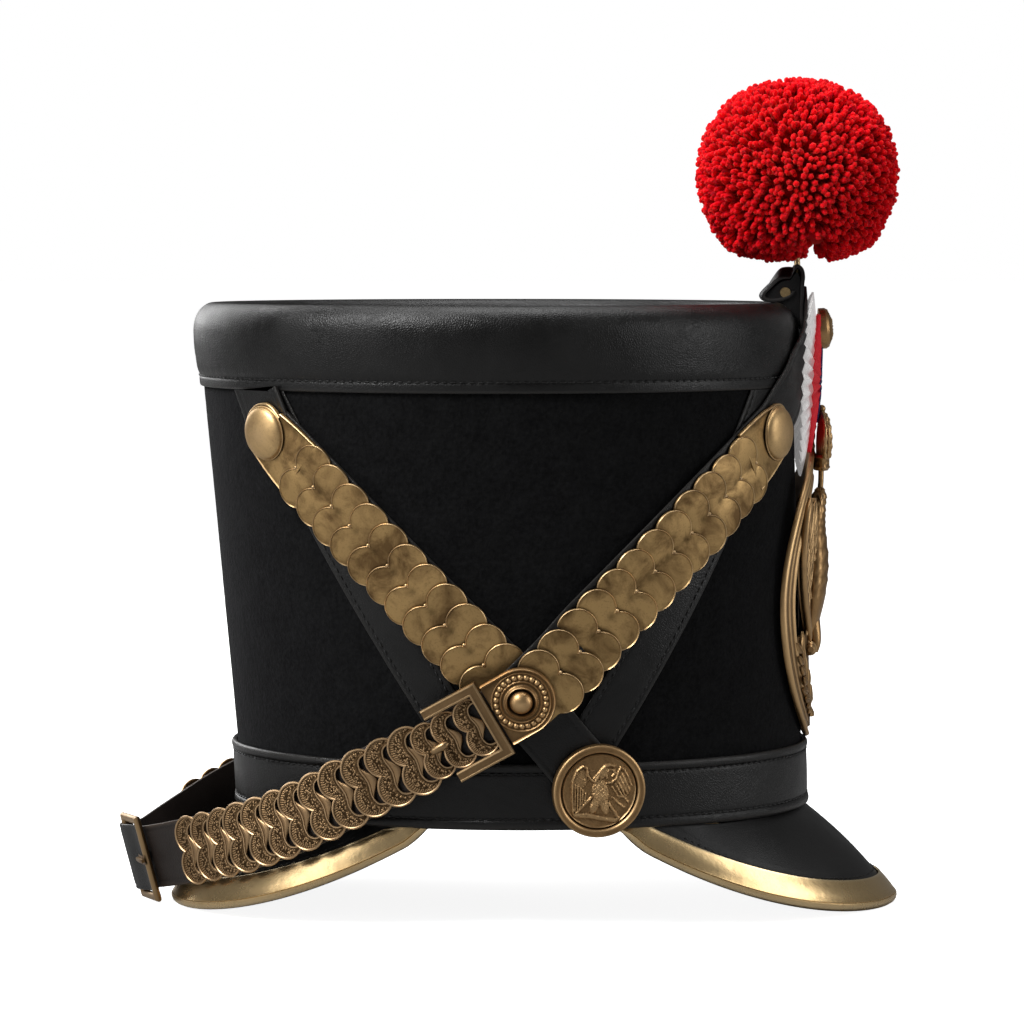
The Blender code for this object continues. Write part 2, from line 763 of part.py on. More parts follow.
def make_side(side_name, side):
    rear = rear_route(side)
    crossing = distance_to(rear, CROSSING_X, CROSSING_HEIGHT)
    stud = distance_to(rear, REAR_STUD_X, REAR_STUD_HEIGHT)

    def rear_width(distance):
        past_crossing = smooth_step((distance - crossing) / 20)
        return STRAP_HALF_WIDTH - 0.6 * past_crossing

    strap(
        f"rear_strap_{side_name}",
        rear,
        steps_between(3.0, rear.length + 4.0, 26),
        rear_width,
        STRAP_LEATHER,
        lambda distance: rear_lift(distance, crossing),
        "leather",
        first_limit=(2, TOP_BAND_EDGE - FIT_GAP),
    )
    scale_proud = STRAP_PROUD + STRAP_LEATHER + 1.5 * FIT_GAP
    plate_lift = scale_proud + 0.5 * FIT_GAP
    end_plate(f"rear_end_plate_{side_name}", rear, stud, 1, plate_lift)
    stations = plain_stations(stud + PLATE_LENGTH, crossing - 3.5, 1, lambda distance: scale_proud)
    chain(f"rear_scale_chain_{side_name}", rear, stations, "aged_brass")
    make_stud(f"rear_stud_{side_name}", rear.spot(stud, plate_lift + PLATE_SHEET + 1.5 * FIT_GAP))

    front = front_route(side)
    crossing = distance_to(front, CROSSING_X, CROSSING_HEIGHT)
    stud = distance_to(front, FRONT_STUD_X, FRONT_STUD_HEIGHT)

    def lift(distance):
        return front_lift(distance, crossing, stud, front.length)

    def scale_lift(distance):
        return lift(distance) + STRAP_LEATHER + 1.5 * FIT_GAP

    strap(
        f"front_strap_{side_name}",
        front,
        steps_between(7.0, front.length, 34),
        lambda distance: STRAP_HALF_WIDTH,
        STRAP_LEATHER,
        lift,
        "leather",
        last_limit=(1, side * FIT_GAP),
    )
    plate_lift = scale_lift(stud) + FIT_GAP
    end_plate(f"front_end_plate_{side_name}", front, stud, -1, plate_lift)
    stations = plain_stations(stud - PLATE_LENGTH, crossing + 8.0, -1, scale_lift)
    chain(f"front_scale_chain_{side_name}", front, stations, "aged_brass")
    make_stud(f"front_stud_{side_name}", front.spot(stud, plate_lift + PLATE_SHEET + 1.5 * FIT_GAP))


def make_stud(name, spot):
    profile = [(0.0, 4.6), (3.6, 4.2), (6.8, 3.0), (9.0, 1.3), (9.9, 0.4), (9.9, 0.0), (0.0, 0.0)]
    turned(name, profile, spot.point, spot.outward, "aged_brass", steps=16)


def make_rosette(side_name, side, chin):
    """The round plate at the crossing, cut straight on the side of the buckle."""
    proud = STRAP_PROUD + CROSSING_LIFT + STRAP_LEATHER + CHIN_LEATHER + 5.5 * FIT_GAP
    angle = wall_angle(CROSSING_X, CROSSING_HEIGHT, proud)
    outward = wall_normal(angle, CROSSING_HEIGHT, side)
    middle = wall_point(angle, CROSSING_HEIGHT, 0, side) + outward * proud
    profile = [
        (0.0, 5.0),
        (2.6, 4.4),
        (4.0, 2.9),
        (4.2, 1.5),
        (5.6, 1.9),
        (7.0, 1.1),
        (10.4, 1.1),
        (11.4, 1.8),
        (12.2, 1.1),
        (12.2, 0.0),
        (0.0, 0.0),
    ]
    piece = turned(f"crossing_rosette_{side_name}", profile, middle, outward, "aged_brass", steps=24)
    spot = chin.spot(BUCKLE_DISTANCE - BUCKLE_LENGTH / 2 - FIT_GAP)
    name = f"rosette_cut_{side_name}"
    cutter = frame_block(name, spot.point + spot.along * 6, spot, (12, 40, 30))
    combine(piece, cutter, "DIFFERENCE")


def frame_block(name, middle, spot, size):
    """A plain box lined up with a spot on a route."""
    sections = []
    for end in (-1, 1):
        section = []
        for across, out in ((-1, -1), (1, -1), (1, 1), (-1, 1)):
            point = middle + spot.along * (end * size[0] / 2) + spot.across * (across * size[1] / 2)
            section.append(point + spot.outward * (out * size[2] / 2))
        sections.append(section)
    return loft(name, sections, None, collection=CUTTERS)


def make_side_button(side_name, side):
    proud = STRAP_PROUD + 0.9 + STRAP_LEATHER + FIT_GAP + 0.2
    angle = wall_angle(BUTTON_X, BUTTON_HEIGHT, proud)
    outward = wall_normal(angle, BUTTON_HEIGHT, side)
    middle = wall_point(angle, BUTTON_HEIGHT, 0, side) + outward * proud
    profile = [
        (0.0, 3.2),
        (6.0, 3.1),
        (12.4, 2.4),
        (13.6, 2.3),
        (14.6, 3.6),
        (16.0, 3.0),
        (16.5, 1.6),
        (15.6, 0.0),
        (0.0, 0.0),
    ]
    turned(f"side_button_{side_name}", profile, middle, outward, "aged_brass", steps=24)


# ---------------------------------------------------------------- chin strap
def chin_stations(route):
    """Stations of the textured chain: narrow inside the buckle, up over its rear bar, then full width."""
    top = CHIN_LEATHER + 1.5 * FIT_GAP
    over = top + BUCKLE_SHEET + 3 * FIT_GAP
    opening_start = BUCKLE_DISTANCE - BUCKLE_LENGTH / 2 + BUCKLE_BAR + 0.6
    opening_end = BUCKLE_DISTANCE + BUCKLE_LENGTH / 2 - BUCKLE_BAR
    bar_end = BUCKLE_DISTANCE + BUCKLE_LENGTH / 2
    stations = [
        (opening_start, 9.6, top, top + 1.0, top + 1.0),
        (opening_start + 8.0, 9.8, top, top + 1.3, top + 1.3),
        (opening_end - 0.9, 9.8, top, over + 1.0, over + 1.0),
        (opening_end - 0.4, 9.8, over, over + 1.2, over + 1.2),
        (opening_end + 0.6, 11.9, over, over + 1.3, over + 1.1),
        (bar_end + 0.4, 11.9, over, over + 1.1, over + 0.9),
        (bar_end + 0.9, 11.9, top, over + 1.0, over + 0.8),
    ]
    start = bar_end + 4.0
    count = int((CHIN_SCALES_END - start) / CHIN_PITCH)
    for scale in range(count):
        rim = start + (scale + 1) * CHIN_PITCH
        raised = max(0.0, 1.5 - scale * 1.5)
        stations.append((rim - 8.6, 11.9, top, top + 1.0 + raised, top + 0.9 + raised))
        stations.append((rim - 4.4, 10.6, top, top + 1.2 + raised, top + 1.0 + raised))
        stations.append((rim - 0.25, 12.2, top, top + 1.5, top + 1.1))
        stations.append((rim, 12.2, top, top + 0.9, top + 0.8))
    return stations


def chin_half_width(distance):
    return CHIN_NARROW + (CHIN_WIDE - CHIN_NARROW) * smooth_step((distance - 38) / 20)


def make_chin_strap(side_name, side):
    route = chin_route(side)
    flip = -1 if side > 0 else 1
    strap(
        f"chin_strap_{side_name}",
        route,
        steps_between(2.0, route.length, 26),
        lambda distance: flip * chin_half_width(distance) if flip > 0 else chin_half_width(distance),
        CHIN_LEATHER,
        lambda distance: 0.0,
        "brown_leather",
        last_limit=(1, side * CHIN_MEET),
    )
    chain(f"chin_scale_chain_{side_name}", route, chin_stations(route), "aged_brass")
    spot = route.spot(BUCKLE_DISTANCE, CHIN_LEATHER + FIT_GAP)
    frame_ring(
        f"side_buckle_{side_name}",
        spot.point,
        spot.along,
        spot.across,
        spot.outward,
        (BUCKLE_LENGTH, BUCKLE_WIDTH),
        BUCKLE_BAR,
        BUCKLE_SHEET,
        "aged_brass",
    )
    tip = route.spot(BUCKLE_DISTANCE + 11.2, CHIN_LEATHER + BUCKLE_SHEET + 3 * FIT_GAP + 1.85)
    sections = []
    for end, size in ((-3.4, 0.6), (-2.6, 1.0), (2.6, 1.0), (3.4, 0.6)):
        section = []
        for across, out in ((-1, 0), (1, 0), (1, 1), (-1, 1)):
            section.append(tip.point + tip.along * end + tip.across * (across * size) + tip.outward * (out * size))
        sections.append(section)
    loft(f"side_buckle_tongue_{side_name}", sections, "aged_brass")
    make_rosette(side_name, side, route)


def make_rear_buckle():
    """The buckle at the back: a frame leaning with the strap, its leather fold and its prong."""
    along = (FAR_BAR - NEAR_BAR).normalized()
    level = Vector((-along.y, along.x, 0)).normalized()
    tilt = math.radians(CHIN_TILT_BACK)
    outward = (level - along * level.dot(along)).normalized()
    across = along.cross(outward).normalized()
    if across.z < 0:
        across = -across
    outward = (outward * math.cos(tilt) - across * math.sin(tilt)).normalized()
    across = (across - outward * across.dot(outward)).normalized()
    span = (FAR_BAR - NEAR_BAR).length
    middle = (FAR_BAR + NEAR_BAR) / 2 - outward * (REAR_BAR / 2)
    size = (span + REAR_BAR, REAR_BUCKLE_HEIGHT)
    frame_ring("rear_buckle", middle, along, across, outward, size, REAR_BAR, REAR_BAR, "aged_brass")

    def place(run, out, spread):
        return FAR_BAR + along * run + outward * out + across * spread

    clear = REAR_BAR / 2 + FIT_GAP + 0.5
    fold = [
        (-span + REAR_BAR + 1.0, 0.0),
        (-span + REAR_BAR + 5.0, 0.3),
        (-5.0, clear * 0.8),
        (-1.5, clear),
        (0.6, clear),
        (clear * 0.9, clear * 0.55),
        (clear * 1.05, -0.2),
        (clear * 0.8, -clear * 0.75),
        (0.2, -clear),
        (-1.6, -clear),
    ]
    bent_strip("rear_buckle_chape", fold, 0.9, REAR_BUCKLE_HEIGHT / 2 - REAR_BAR - 0.6, place, "leather")

    def prong_place(run, out, spread):
        return NEAR_BAR + along * run + outward * out + across * spread

    prong = [(7.0, 1.9), (3.0, 2.3), (0.0, 2.4), (-2.0, 2.2)]
    bent_strip("rear_buckle_prong", prong, 1.3, 0.8, prong_place, "aged_brass")


# ---------------------------------------------------------------- cockade
def cockade_point(radius, turn, level):
    """A point of the bowed cockade; level is how far it stands in front of the white layer."""
    y = radius * math.sin(turn)
    rise = radius * math.cos(turn)
    bow = y * y / (2 * COCKADE_BOW_SIDE) + rise * rise / (2 * COCKADE_BOW_UP)
    return Vector((COCKADE_FRONT - bow + COCKADE_TILT * rise + level, y, COCKADE_HEIGHT + rise))


def cockade_layer(name, radii, points, tooth, level, thickness, finish):
    """A round layer whose edge is cut into teeth; radii run from the middle out."""
    rows = []
    for index, radius in enumerate(radii):
        row = []
        for step in range(points):
            cut = tooth if index == len(radii) - 1 and step % 2 else 0.0
            row.append(cockade_point(radius - cut, 2 * math.pi * step / points, level))
        rows.append(row)
    flat = [point for row in rows for point in row]
    faces = grid_faces(len(rows), points, True)
    middle = len(flat)
    flat.append(cockade_point(0.0, 0.0, level))
    for step in range(points):
        faces.append((middle, (step + 1) % points, step))
    piece = add_object(name, flat, faces, finish)
    face_outwards(piece)
    shape = piece.data
    if shape.polygons[0].normal.x < 0:
        shape.flip_normals()
    wall = piece.modifiers.new("wall", "SOLIDIFY")
    wall.thickness = thickness * MM
    wall.offset = -1.0
    return smooth(piece)


def make_cockade():
    top = COCKADE_SHEET
    cockade_layer("cockade_white", (18.0, COCKADE_RADIUS), 56, 1.5, 0.0, top, "white_cloth")
    cockade_layer("cockade_red", (10.0, 20.5), 46, 3.2, FIT_GAP + 0.6, 0.6, "red_cloth")
    cockade_layer("cockade_blue", (7.5,), 20, 0.0, 2 * FIT_GAP + 1.1, 0.5, "blue_cloth")
    profile = [(0.0, 5.3), (3.4, 4.7), (6.2, 3.2), (7.6, 1.4), (7.6, 0.0), (0.0, 0.0)]
    place = cockade_point(20.7, 0.0, 1.8)
    turned("cockade_button", profile, place, (1.0, 0.0, COCKADE_TILT), "aged_brass", steps=20)


# ---------------------------------------------------------------- front plate
def plate_proud(height):
    """The plate stands further off the felt towards its top, over the foot of the cockade."""
    return 1.0 + 4.2 * smooth_step((height - 110) / 62)


def plate_point(y, height, level):
    """A point on the plate, which is a little flatter than the crown behind it."""
    return Vector((wall_front(y * PLATE_BEND, height) + plate_proud(height) + level, y, height))


def oval_sections(table, steps):
    """Level oval sections; each row is (height, middle x, half depth, half width)."""
    sections = []
    for height, middle, depth, width in table:
        section = []
        for step in range(steps):
            turn = 2 * math.pi * step / steps
            section.append(Vector((middle + depth * math.cos(turn), width * math.sin(turn), height)))
        sections.append(section)
    return sections


def make_front_plate():
    sections = []
    for step in range(PLATE_STEPS):
        turn = 2 * math.pi * step / PLATE_STEPS
        section = []
        for offset, level in ((1.6, 0.0), (1.6, 1.3), (0.0, PLATE_RIM_SHEET), (-1.6, 1.3), (-1.6, 0.0)):
            y = (PLATE_HALF_WIDTH + offset) * math.sin(turn)
            height = PLATE_HEIGHT + (PLATE_HALF_HEIGHT + offset) * math.cos(turn)
            section.append(plate_point(y, height, level))
        sections.append(section)
    plate = loft("front_plate", sections, "aged_brass", closed=True)

    # The ground: a thin bowed sheet that fills the ring, thicker at the foot where the laurel is.
    ground = []
    low = PLATE_HEIGHT - PLATE_HALF_HEIGHT + 0.8
    high = PLATE_HEIGHT + PLATE_HALF_HEIGHT - 0.8
    for height in steps_between(low, high, 12):
        reach = PLATE_HALF_WIDTH * math.sqrt(1 - ((height - PLATE_HEIGHT) / PLATE_HALF_HEIGHT) ** 2)
        laurel = 2.2 * (1 - smooth_step((height - LAUREL_TOP) / 6))
        shares = steps_between(-1.0, 1.0, 8)
        level = [1.0 + laurel * (1 - share * share) for share in shares]
        face = [plate_point(share * reach, height, out) for share, out in zip(shares, level)]
        back = [plate_point(share * reach, height, 0.2) for share in reversed(shares)]
        ground.append(face + back)
    combine(plate, loft("plate_ground", ground, None), "UNION")

    # Wings: from the shoulder out to the ring, on each side of the body.
    WingRow = namedtuple("WingRow", "height inner outer")
    wing_table = (
        WingRow(150.0, 27.0, 33.0),
        WingRow(141.0, 12.0, 38.5),
        WingRow(128.0, 5.0, 38.5),
        WingRow(115.0, 4.0, 31.0),
        WingRow(104.0, 4.0, 20.0),
    )
    for side_name, side in SIDES:
        wing = []
        for row in wing_table:
            section = []
            for y, level in ((row.inner, 0.2), (row.outer, 0.2), (row.outer, 2.0), (row.inner, 4.6)):
                section.append(plate_point(side * y, row.height, level))
            wing.append(section)
        combine(plate, loft(f"plate_wing_{side_name}", wing, None), "UNION")

    body_table = (
        (93.0, 107.2, 2.8, 6.0),
        (103.0, 107.8, 3.6, 9.5),
        (115.0, 109.0, 5.2, 12.0),
        (127.0, 109.6, 5.6, 11.5),
        (139.0, 109.6, 4.6, 8.0),
        (147.0, 110.4, 3.6, 5.0),
        (153.0, 111.6, 2.2, 3.6),
        (154.5, 111.9, 1.1, 1.6),
        (161.0, 112.1, 1.1, 1.6),
        (162.0, 112.1, 3.0, 9.0),
        (166.0, 112.1, 3.0, 9.4),
        (171.0, 112.4, 3.1, 12.4),
        (177.0, 112.4, 2.4, 12.8),
        (181.0, 112.2, 1.9, 9.0),
        (183.6, 112.1, 1.1, 2.6),
        (185.4, 112.4, 0.9, 0.9),
    )
    combine(plate, loft("plate_eagle", oval_sections(body_table, 12), None), "UNION")

    bar = []
    for y, radius in ((-17.0, 1.6), (-11.0, 2.9), (11.0, 2.9), (17.0, 1.6)):
        section = []
        for step in range(8):
            turn = 2 * math.pi * (step + 0.5) / 8
            section.append(Vector((107.3 + radius * math.cos(turn), y, 95.5 + radius * math.sin(turn))))
        bar.append(section)
    combine(plate, loft("plate_thunderbolt", bar, None), "UNION")


# ---------------------------------------------------------------- pompom
def make_pompom():
    profile = [(row.radius, row.height) for row in POMPOM]
    profile += [(2.2, STEM_TOP + FIT_GAP), (0.0, STEM_TOP + FIT_GAP)]
    turned("pompom", profile, (POMPOM_X, 0, 0), (0, 0, 1), "red_wool", steps=24)

    def place(run, out, spread):
        return Vector((run, spread, out))

    path = [
        (104.1, 214.0),
        (104.1, 230.2),
        (104.8, 233.0),
        (104.7, 234.8),
        (103.4, 236.7),
        (101.2, 237.4),
        (98.4, 236.8),
        (95.9, 234.2),
        (93.4, 230.4),
        (91.0, 226.9),
        (91.2, 225.0),
        (93.0, 224.4),
        (96.6, 224.7),
        (99.4, 226.2),
        (101.1, 228.8),
    ]
    loop = bent_strip("plume_loop", path, LOOP_LEATHER, LOOP_HALF_WIDTH, place, "leather")
    hole_profile = [(0.0, 6.0), (STEM_RADIUS + 0.8, 6.0), (STEM_RADIUS + 0.8, -6.0), (0.0, -6.0)]
    hole = turned("stem_hole", hole_profile, (POMPOM_X, 0, 237.0), (0, 0, 1), None, 12, CUTTERS)
    combine(loop, hole, "DIFFERENCE")

    curve = bpy.data.curves.new("plume_stem", "CURVE")
    curve.dimensions = "3D"
    curve.bevel_depth = STEM_RADIUS * MM
    curve.bevel_resolution = 1
    curve.use_fill_caps = True
    line = curve.splines.new("POLY")
    route = ((97.3, 229.3), (99.4, 230.2), (101.6, 232.0), (POMPOM_X, 234.4), (POMPOM_X, STEM_TOP))
    line.points.add(len(route) - 1)
    for point, (x, height) in zip(line.points, route):
        point.co = (x * MM, 0.0, height * MM, 1.0)
    drawn = bpy.data.objects.new("plume_stem_line", curve)
    CUTTERS.objects.link(drawn)
    bpy.context.view_layer.update()
    graph = bpy.context.evaluated_depsgraph_get()
    mesh = bpy.data.meshes.new_from_object(drawn.evaluated_get(graph))
    bpy.data.objects.remove(drawn)
    shape = bmesh.new()
    shape.from_mesh(mesh)
    bmesh.ops.remove_doubles(shape, verts=shape.verts, dist=0.01 * MM)
    shape.to_mesh(mesh)
    shape.free()
    stem = bpy.data.objects.new("plume_stem", mesh)
    mesh.materials.append(principled("plume_stem", *FINISHES["bright_brass"]))
    HAT.objects.link(stem)
    stem.parent = ORIGIN
    face_outwards(stem)
    bar_profile = [(0.0, 7.2), (1.9, 7.2), (1.9, -7.2), (0.0, -7.2)]
    bar = turned("stem_foot", bar_profile, (97.0, 0, 228.6), (0, 1, 0), None, 12, CUTTERS)
    combine(stem, bar, "UNION")


# ---------------------------------------------------------------- the hat
def main():
    make_crown()
    make_chevrons()
    for peak in PEAKS:
        make_peak(peak)
    for side_name, side in SIDES:
        make_side(side_name, side)
        make_chin_strap(side_name, side)
        make_side_button(side_name, side)
    make_rear_buckle()
    make_cockade()
    make_front_plate()
    make_pompom()


main()
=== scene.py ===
"""The looks of a shako hat: felt crown, stitched leather, brass scales and edgings, cockade and wool pompom.

Shapes are worked out in millimetres, in the hat's own coordinates, and made metres when a mesh is written.
The front of the hat faces +X, the wearer's right is -Y, and the peaks rest on the plane z = 0.
"""

import math

import bmesh
import bpy
import numpy as np
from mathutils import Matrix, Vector


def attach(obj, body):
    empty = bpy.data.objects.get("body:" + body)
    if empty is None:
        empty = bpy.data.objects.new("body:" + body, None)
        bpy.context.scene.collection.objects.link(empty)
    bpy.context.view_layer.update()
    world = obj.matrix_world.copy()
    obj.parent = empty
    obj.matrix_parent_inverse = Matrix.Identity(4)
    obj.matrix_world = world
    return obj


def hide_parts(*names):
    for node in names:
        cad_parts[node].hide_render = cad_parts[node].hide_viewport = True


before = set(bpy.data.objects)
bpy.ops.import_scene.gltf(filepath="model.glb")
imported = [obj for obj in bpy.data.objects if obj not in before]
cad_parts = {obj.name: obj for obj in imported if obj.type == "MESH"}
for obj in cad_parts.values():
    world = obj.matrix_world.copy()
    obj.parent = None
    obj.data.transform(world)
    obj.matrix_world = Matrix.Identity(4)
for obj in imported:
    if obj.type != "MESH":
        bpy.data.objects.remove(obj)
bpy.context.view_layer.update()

MM = 0.001
GAP = 0.3
HAT_SHIFT = 5.1
SIDES = (("right", -1), ("left", 1))
COLLECTION = bpy.data.collections.new("shako_looks")
bpy.context.scene.collection.children.link(COLLECTION)

# ---- sizes shared with the hat's solids
BAND_TOP = 61.2
FELT_TOP = 213.8
FELT_WALL = 3.0
TOP_BAND_EDGE = 193.3
DISC_BOTTOM = 207.5
RIM_INSIDE = -10.4
BEAD = 2.4
PEAK_LEATHER = 2.4
BINDING_SHEET = 0.8
STRAP_PROUD = 1.7
STRAP_LEATHER = 1.3
CROSSING = (-0.2, 84.9)
CROSSING_LIFT = 3.7
REAR_STUD = (-90.2, 178.6)
FRONT_STUD = (90.8, 177.2)
BUTTON = (27.0, 52.2)
SCALE_PITCH = 9.6
PLATE_LENGTH = 20.0
CHIN_LEATHER = 1.6
BUCKLE_DISTANCE = 25.3
BUCKLE_LENGTH = 22.3
BUCKLE_WIDTH = 29.3
BUCKLE_BAR = 4.0
BUCKLE_SHEET = 2.2
NEAR_BAR = np.array((-139.2, -14.0, 16.8))
FAR_BAR = np.array((-145.6, 3.4, 16.0))
REAR_BAR = 2.3
REAR_BUCKLE_HEIGHT = 31.5
CHIN_ROUTE = (  # x, distance from the middle plane, height on the right, height on the left
    (3.0, 100.4, 86.7, 86.7),
    (-18.5, 97.5, 74.4, 75.6),
    (-38.0, 91.9, 62.8, 66.2),
    (-56.0, 85.0, 53.5, 58.6),
    (-72.3, 76.4, 43.8, 51.2),
    (-87.7, 64.8, 35.8, 43.4),
    (-102.8, 51.4, 29.4, 37.3),
    (-115.9, 36.8, 24.4, 31.4),
    (-127.4, 22.4, 20.4, 24.8),
    (-136.9, 11.2, 17.6, 19.0),
    (-140.3, 4.0, 16.8, 17.6),
    (-141.0, 0.0, 16.7, 16.7),
)


# ---- vectors and curves
def unit(vectors):
    vectors = np.asarray(vectors, float)
    return vectors / np.linalg.norm(vectors, axis=-1, keepdims=True)


def stack(*parts):
    """Points from their coordinates, spread to one shape."""
    return np.stack(np.broadcast_arrays(*parts), axis=-1)


def full_turn(steps):
    """Even steps once round, as angles."""
    return 2 * np.pi * np.arange(steps) / steps


def smooth_step(share):
    share = np.clip(share, 0.0, 1.0)
    return share * share * (3 - 2 * share)


def bump(distance, width):
    """A soft hill, 1 on its line and 0 from its width on."""
    return 1 - smooth_step(np.abs(distance) / width)


def half_round(share):
    """A circle's rise: 1 in its middle and 0 from its edge on."""
    return np.sqrt(np.maximum(1 - share**2, 0.0))


def spline(points, steps=8, closed=False):
    """A smooth line through points, each span a cubic that matches its neighbours' slopes."""
    points = np.asarray(points, float)
    if closed:
        ends = np.vstack([points[-1:], points, points[:2]])
    else:
        ends = np.vstack([points[:1] * 2 - points[1:2], points, points[-1:] * 2 - points[-2:-1]])
    t = (np.arange(steps) / steps)[:, None]
    line = []
    for index in range(1, len(ends) - 2):
        a, b, c, d = ends[index - 1 : index + 3]
        bend, twist = a * 2 - b * 5 + c * 4 - d, b * 3 - a - c * 3 + d
        line.append(b + (c - a) * (t / 2) + bend * (t * t / 2) + twist * (t * t * t / 2))
    if not closed:
        line.append(points[-1:])
    return np.vstack(line)


def oval(height, proud=0.0):
    """The crown's outline at a height: its middle, half length and half width."""
    front = 104.8 - 0.026 * (height - BAND_TOP)
    rear = -106.0 + np.where(height > BAND_TOP, -0.0915, -0.050) * (height - BAND_TOP)
    half_width = 86.5 + 21.5 * (height - 37.0) / 174.0
    return (front + rear) / 2, (front - rear) / 2 + proud, half_width + proud


def wall_point(angle, height, proud, side=1):
    """A point on the crown by its angle from the front, in degrees."""
    angle, height, proud = np.broadcast_arrays(np.asarray(angle, float), height, proud)
    middle, half_length, half_width = oval(height, proud)
    turn = np.radians(angle)
    x = middle + half_length * np.cos(turn)
    y = side * half_width * np.sin(turn)
    return stack(x, y, height)


def wall_normal(angle, height, side=1):
    round_it = wall_point(angle + 0.5, height, 0, side) - wall_point(angle - 0.5, height, 0, side)
    up_it = wall_point(angle, height + 1.0, 0, side) - wall_point(angle, height - 1.0, 0, side)
    return unit(np.cross(round_it, up_it) * side)


def wall_angle(x, height, proud):
    middle, half_length, _ = oval(height, proud)
    return np.degrees(np.arccos(np.clip((x - middle) / half_length, -1.0, 1.0)))


def wall_front(side_offset, height):
    middle, half_length, half_width = oval(height)
    return middle + half_length * half_round(side_offset / half_width)


class Route:
    """A line read by its length: where it is, which way it runs and which way its strap faces."""

    def __init__(self, points, normals):
        self.points = np.asarray(points, float)
        self.normals = np.asarray(normals, float)
        steps = np.linalg.norm(np.diff(self.points, axis=0), axis=1)
        self.lengths = np.concatenate([[0.0], np.cumsum(steps)])
        self.length = self.lengths[-1]

    def read(self, values, distance):
        """A value along the route; it is carried on straight past either end."""
        index = np.clip(np.searchsorted(self.lengths, distance) - 1, 0, len(self.lengths) - 2)
        span = self.lengths[index + 1] - self.lengths[index]
        share = ((distance - self.lengths[index]) / span)[..., None]
        return values[index] * (1 - share) + values[index + 1] * share

    def frames(self, distance):
        distance = np.asarray(distance, float)
        before = self.read(self.points, distance - 2.0)
        along = unit(self.read(self.points, distance + 2.0) - before)
        outward = self.read(self.normals, distance)
        outward = unit(outward - along * np.sum(outward * along, axis=-1, keepdims=True))
        return self.read(self.points, distance), along, np.cross(along, outward), outward

    def place(self, distance, across, out):
        """Turns (along, across, out) into points that follow the route."""
        distance, across, out = np.broadcast_arrays(np.asarray(distance, float), across, out)
        point, _, sideways, outward = self.frames(distance)
        return point + sideways * across[..., None] + outward * out[..., None]

    def nearest(self, x, height):
        gap = np.hypot(self.points[:, 0] - x, self.points[:, 2] - height)
        return self.lengths[int(np.argmin(gap))]


def wall_route(stops, side):
    stops = np.asarray(stops, float)
    points = wall_point(stops[:, 0], stops[:, 1], 0.0, side)
    return Route(points, wall_normal(stops[:, 0], stops[:, 1], side))


def straight_stops(start, end, proud, steps):
    share = np.linspace(0, 1, steps + 1)
    x = start[0] + (end[0] - start[0]) * share
    height = start[1] + (end[1] - start[1]) * share
    return stack(wall_angle(x, height, proud), height)


def rear_route(side):
    proud = STRAP_PROUD + STRAP_LEATHER
    top = straight_stops((-96.5, TOP_BAND_EDGE + 2), REAR_STUD, proud, 6)
    middle = straight_stops(REAR_STUD, CROSSING, proud, 24)
    low = straight_stops(CROSSING, BUTTON, proud, 8)
    return wall_route(np.vstack([top[:-1], middle[:-1], low]), side)


def front_route(side):
    proud = STRAP_PROUD + STRAP_LEATHER
    start = (CROSSING[0] - 8, CROSSING[1] - 8)
    stops = [straight_stops(start, CROSSING, proud, 4)[:-1], straight_stops(CROSSING, FRONT_STUD, proud, 24)]
    stud_angle, stud_height = stops[1][-1]
    share = (np.arange(12) + 1) / 12
    stops.append(stack(stud_angle * (1 - share), stud_height + (215.0 - stud_height) * share))
    return wall_route(np.vstack(stops), side)


def chin_route(side):
    stops = [(x, side * y, left if side > 0 else right) for x, y, right, left in CHIN_ROUTE]
    line = spline(stops)
    count = len(line)
    along = unit(line[np.minimum(np.arange(count) + 1, count - 1)] - line[np.maximum(np.arange(count) - 1, 0)])
    along[-1] = (0, -side, 0)
    level = unit(stack(-side * along[:, 1], side * along[:, 0], 0 * along[:, 0]))
    level *= np.sign(np.sum(level[:, :2] * line[:, :2], axis=1))[:, None]
    upright = np.cross(along, level)
    upright *= np.sign(upright[:, 2])[:, None]
    share = np.linspace(0, 1, count)
    tilt = np.radians(7.0 - 3.0 * smooth_step(share / 0.5) + 10.5 * smooth_step((share - 0.55) / 0.35))[:, None]
    return Route(line, level * np.cos(tilt) - upright * np.sin(tilt))


# ---- shaders
class Shader:
    """A Principled material being wired up."""

    def __init__(self, name):
        self.material = bpy.data.materials.new(name)
        self.material.use_nodes = True
        self.tree = self.material.node_tree
        self.surface = self.tree.nodes["Principled BSDF"]
        self.spot = self.node("ShaderNodeTexCoord").outputs["Object"]

    def node(self, kind, inputs=None, **settings):
        return add_node(self.tree, kind, inputs, **settings)

    def group(self, tree, **inputs):
        return self.node("ShaderNodeGroup", {"Spot": self.spot, **spaced(inputs)}, node_tree=tree).outputs

    def mix(self, share, first, second):
        return self.node("ShaderNodeMix", {0: share, 6: first, 7: second}, data_type="RGBA").outputs[2]

    def math(self, operation, first, second=0.0, third=0.0):
        return number(self.tree, operation, first, second, third)

    def ramp(self, value, low, high, start=0.0, end=1.0):
        return map_range(self.tree, value, low, high, start, end)

    def attribute(self, name):
        return self.node("ShaderNodeAttribute", attribute_name=name).outputs["Fac"]

    def set(self, **values):
        for key, value in spaced(values).items():
            plug(self.tree, self.surface.inputs[key], value)

    def bump(self, height, strength, distance_mm):
        inputs = {"Height": height, "Strength": strength, "Distance": distance_mm * MM}
        self.set(Normal=self.node("ShaderNodeBump", inputs).outputs[0])


def spaced(values):
    """Socket names as they are written, from names that stand in code."""
    return {key.replace("_", " "): value for key, value in values.items()}


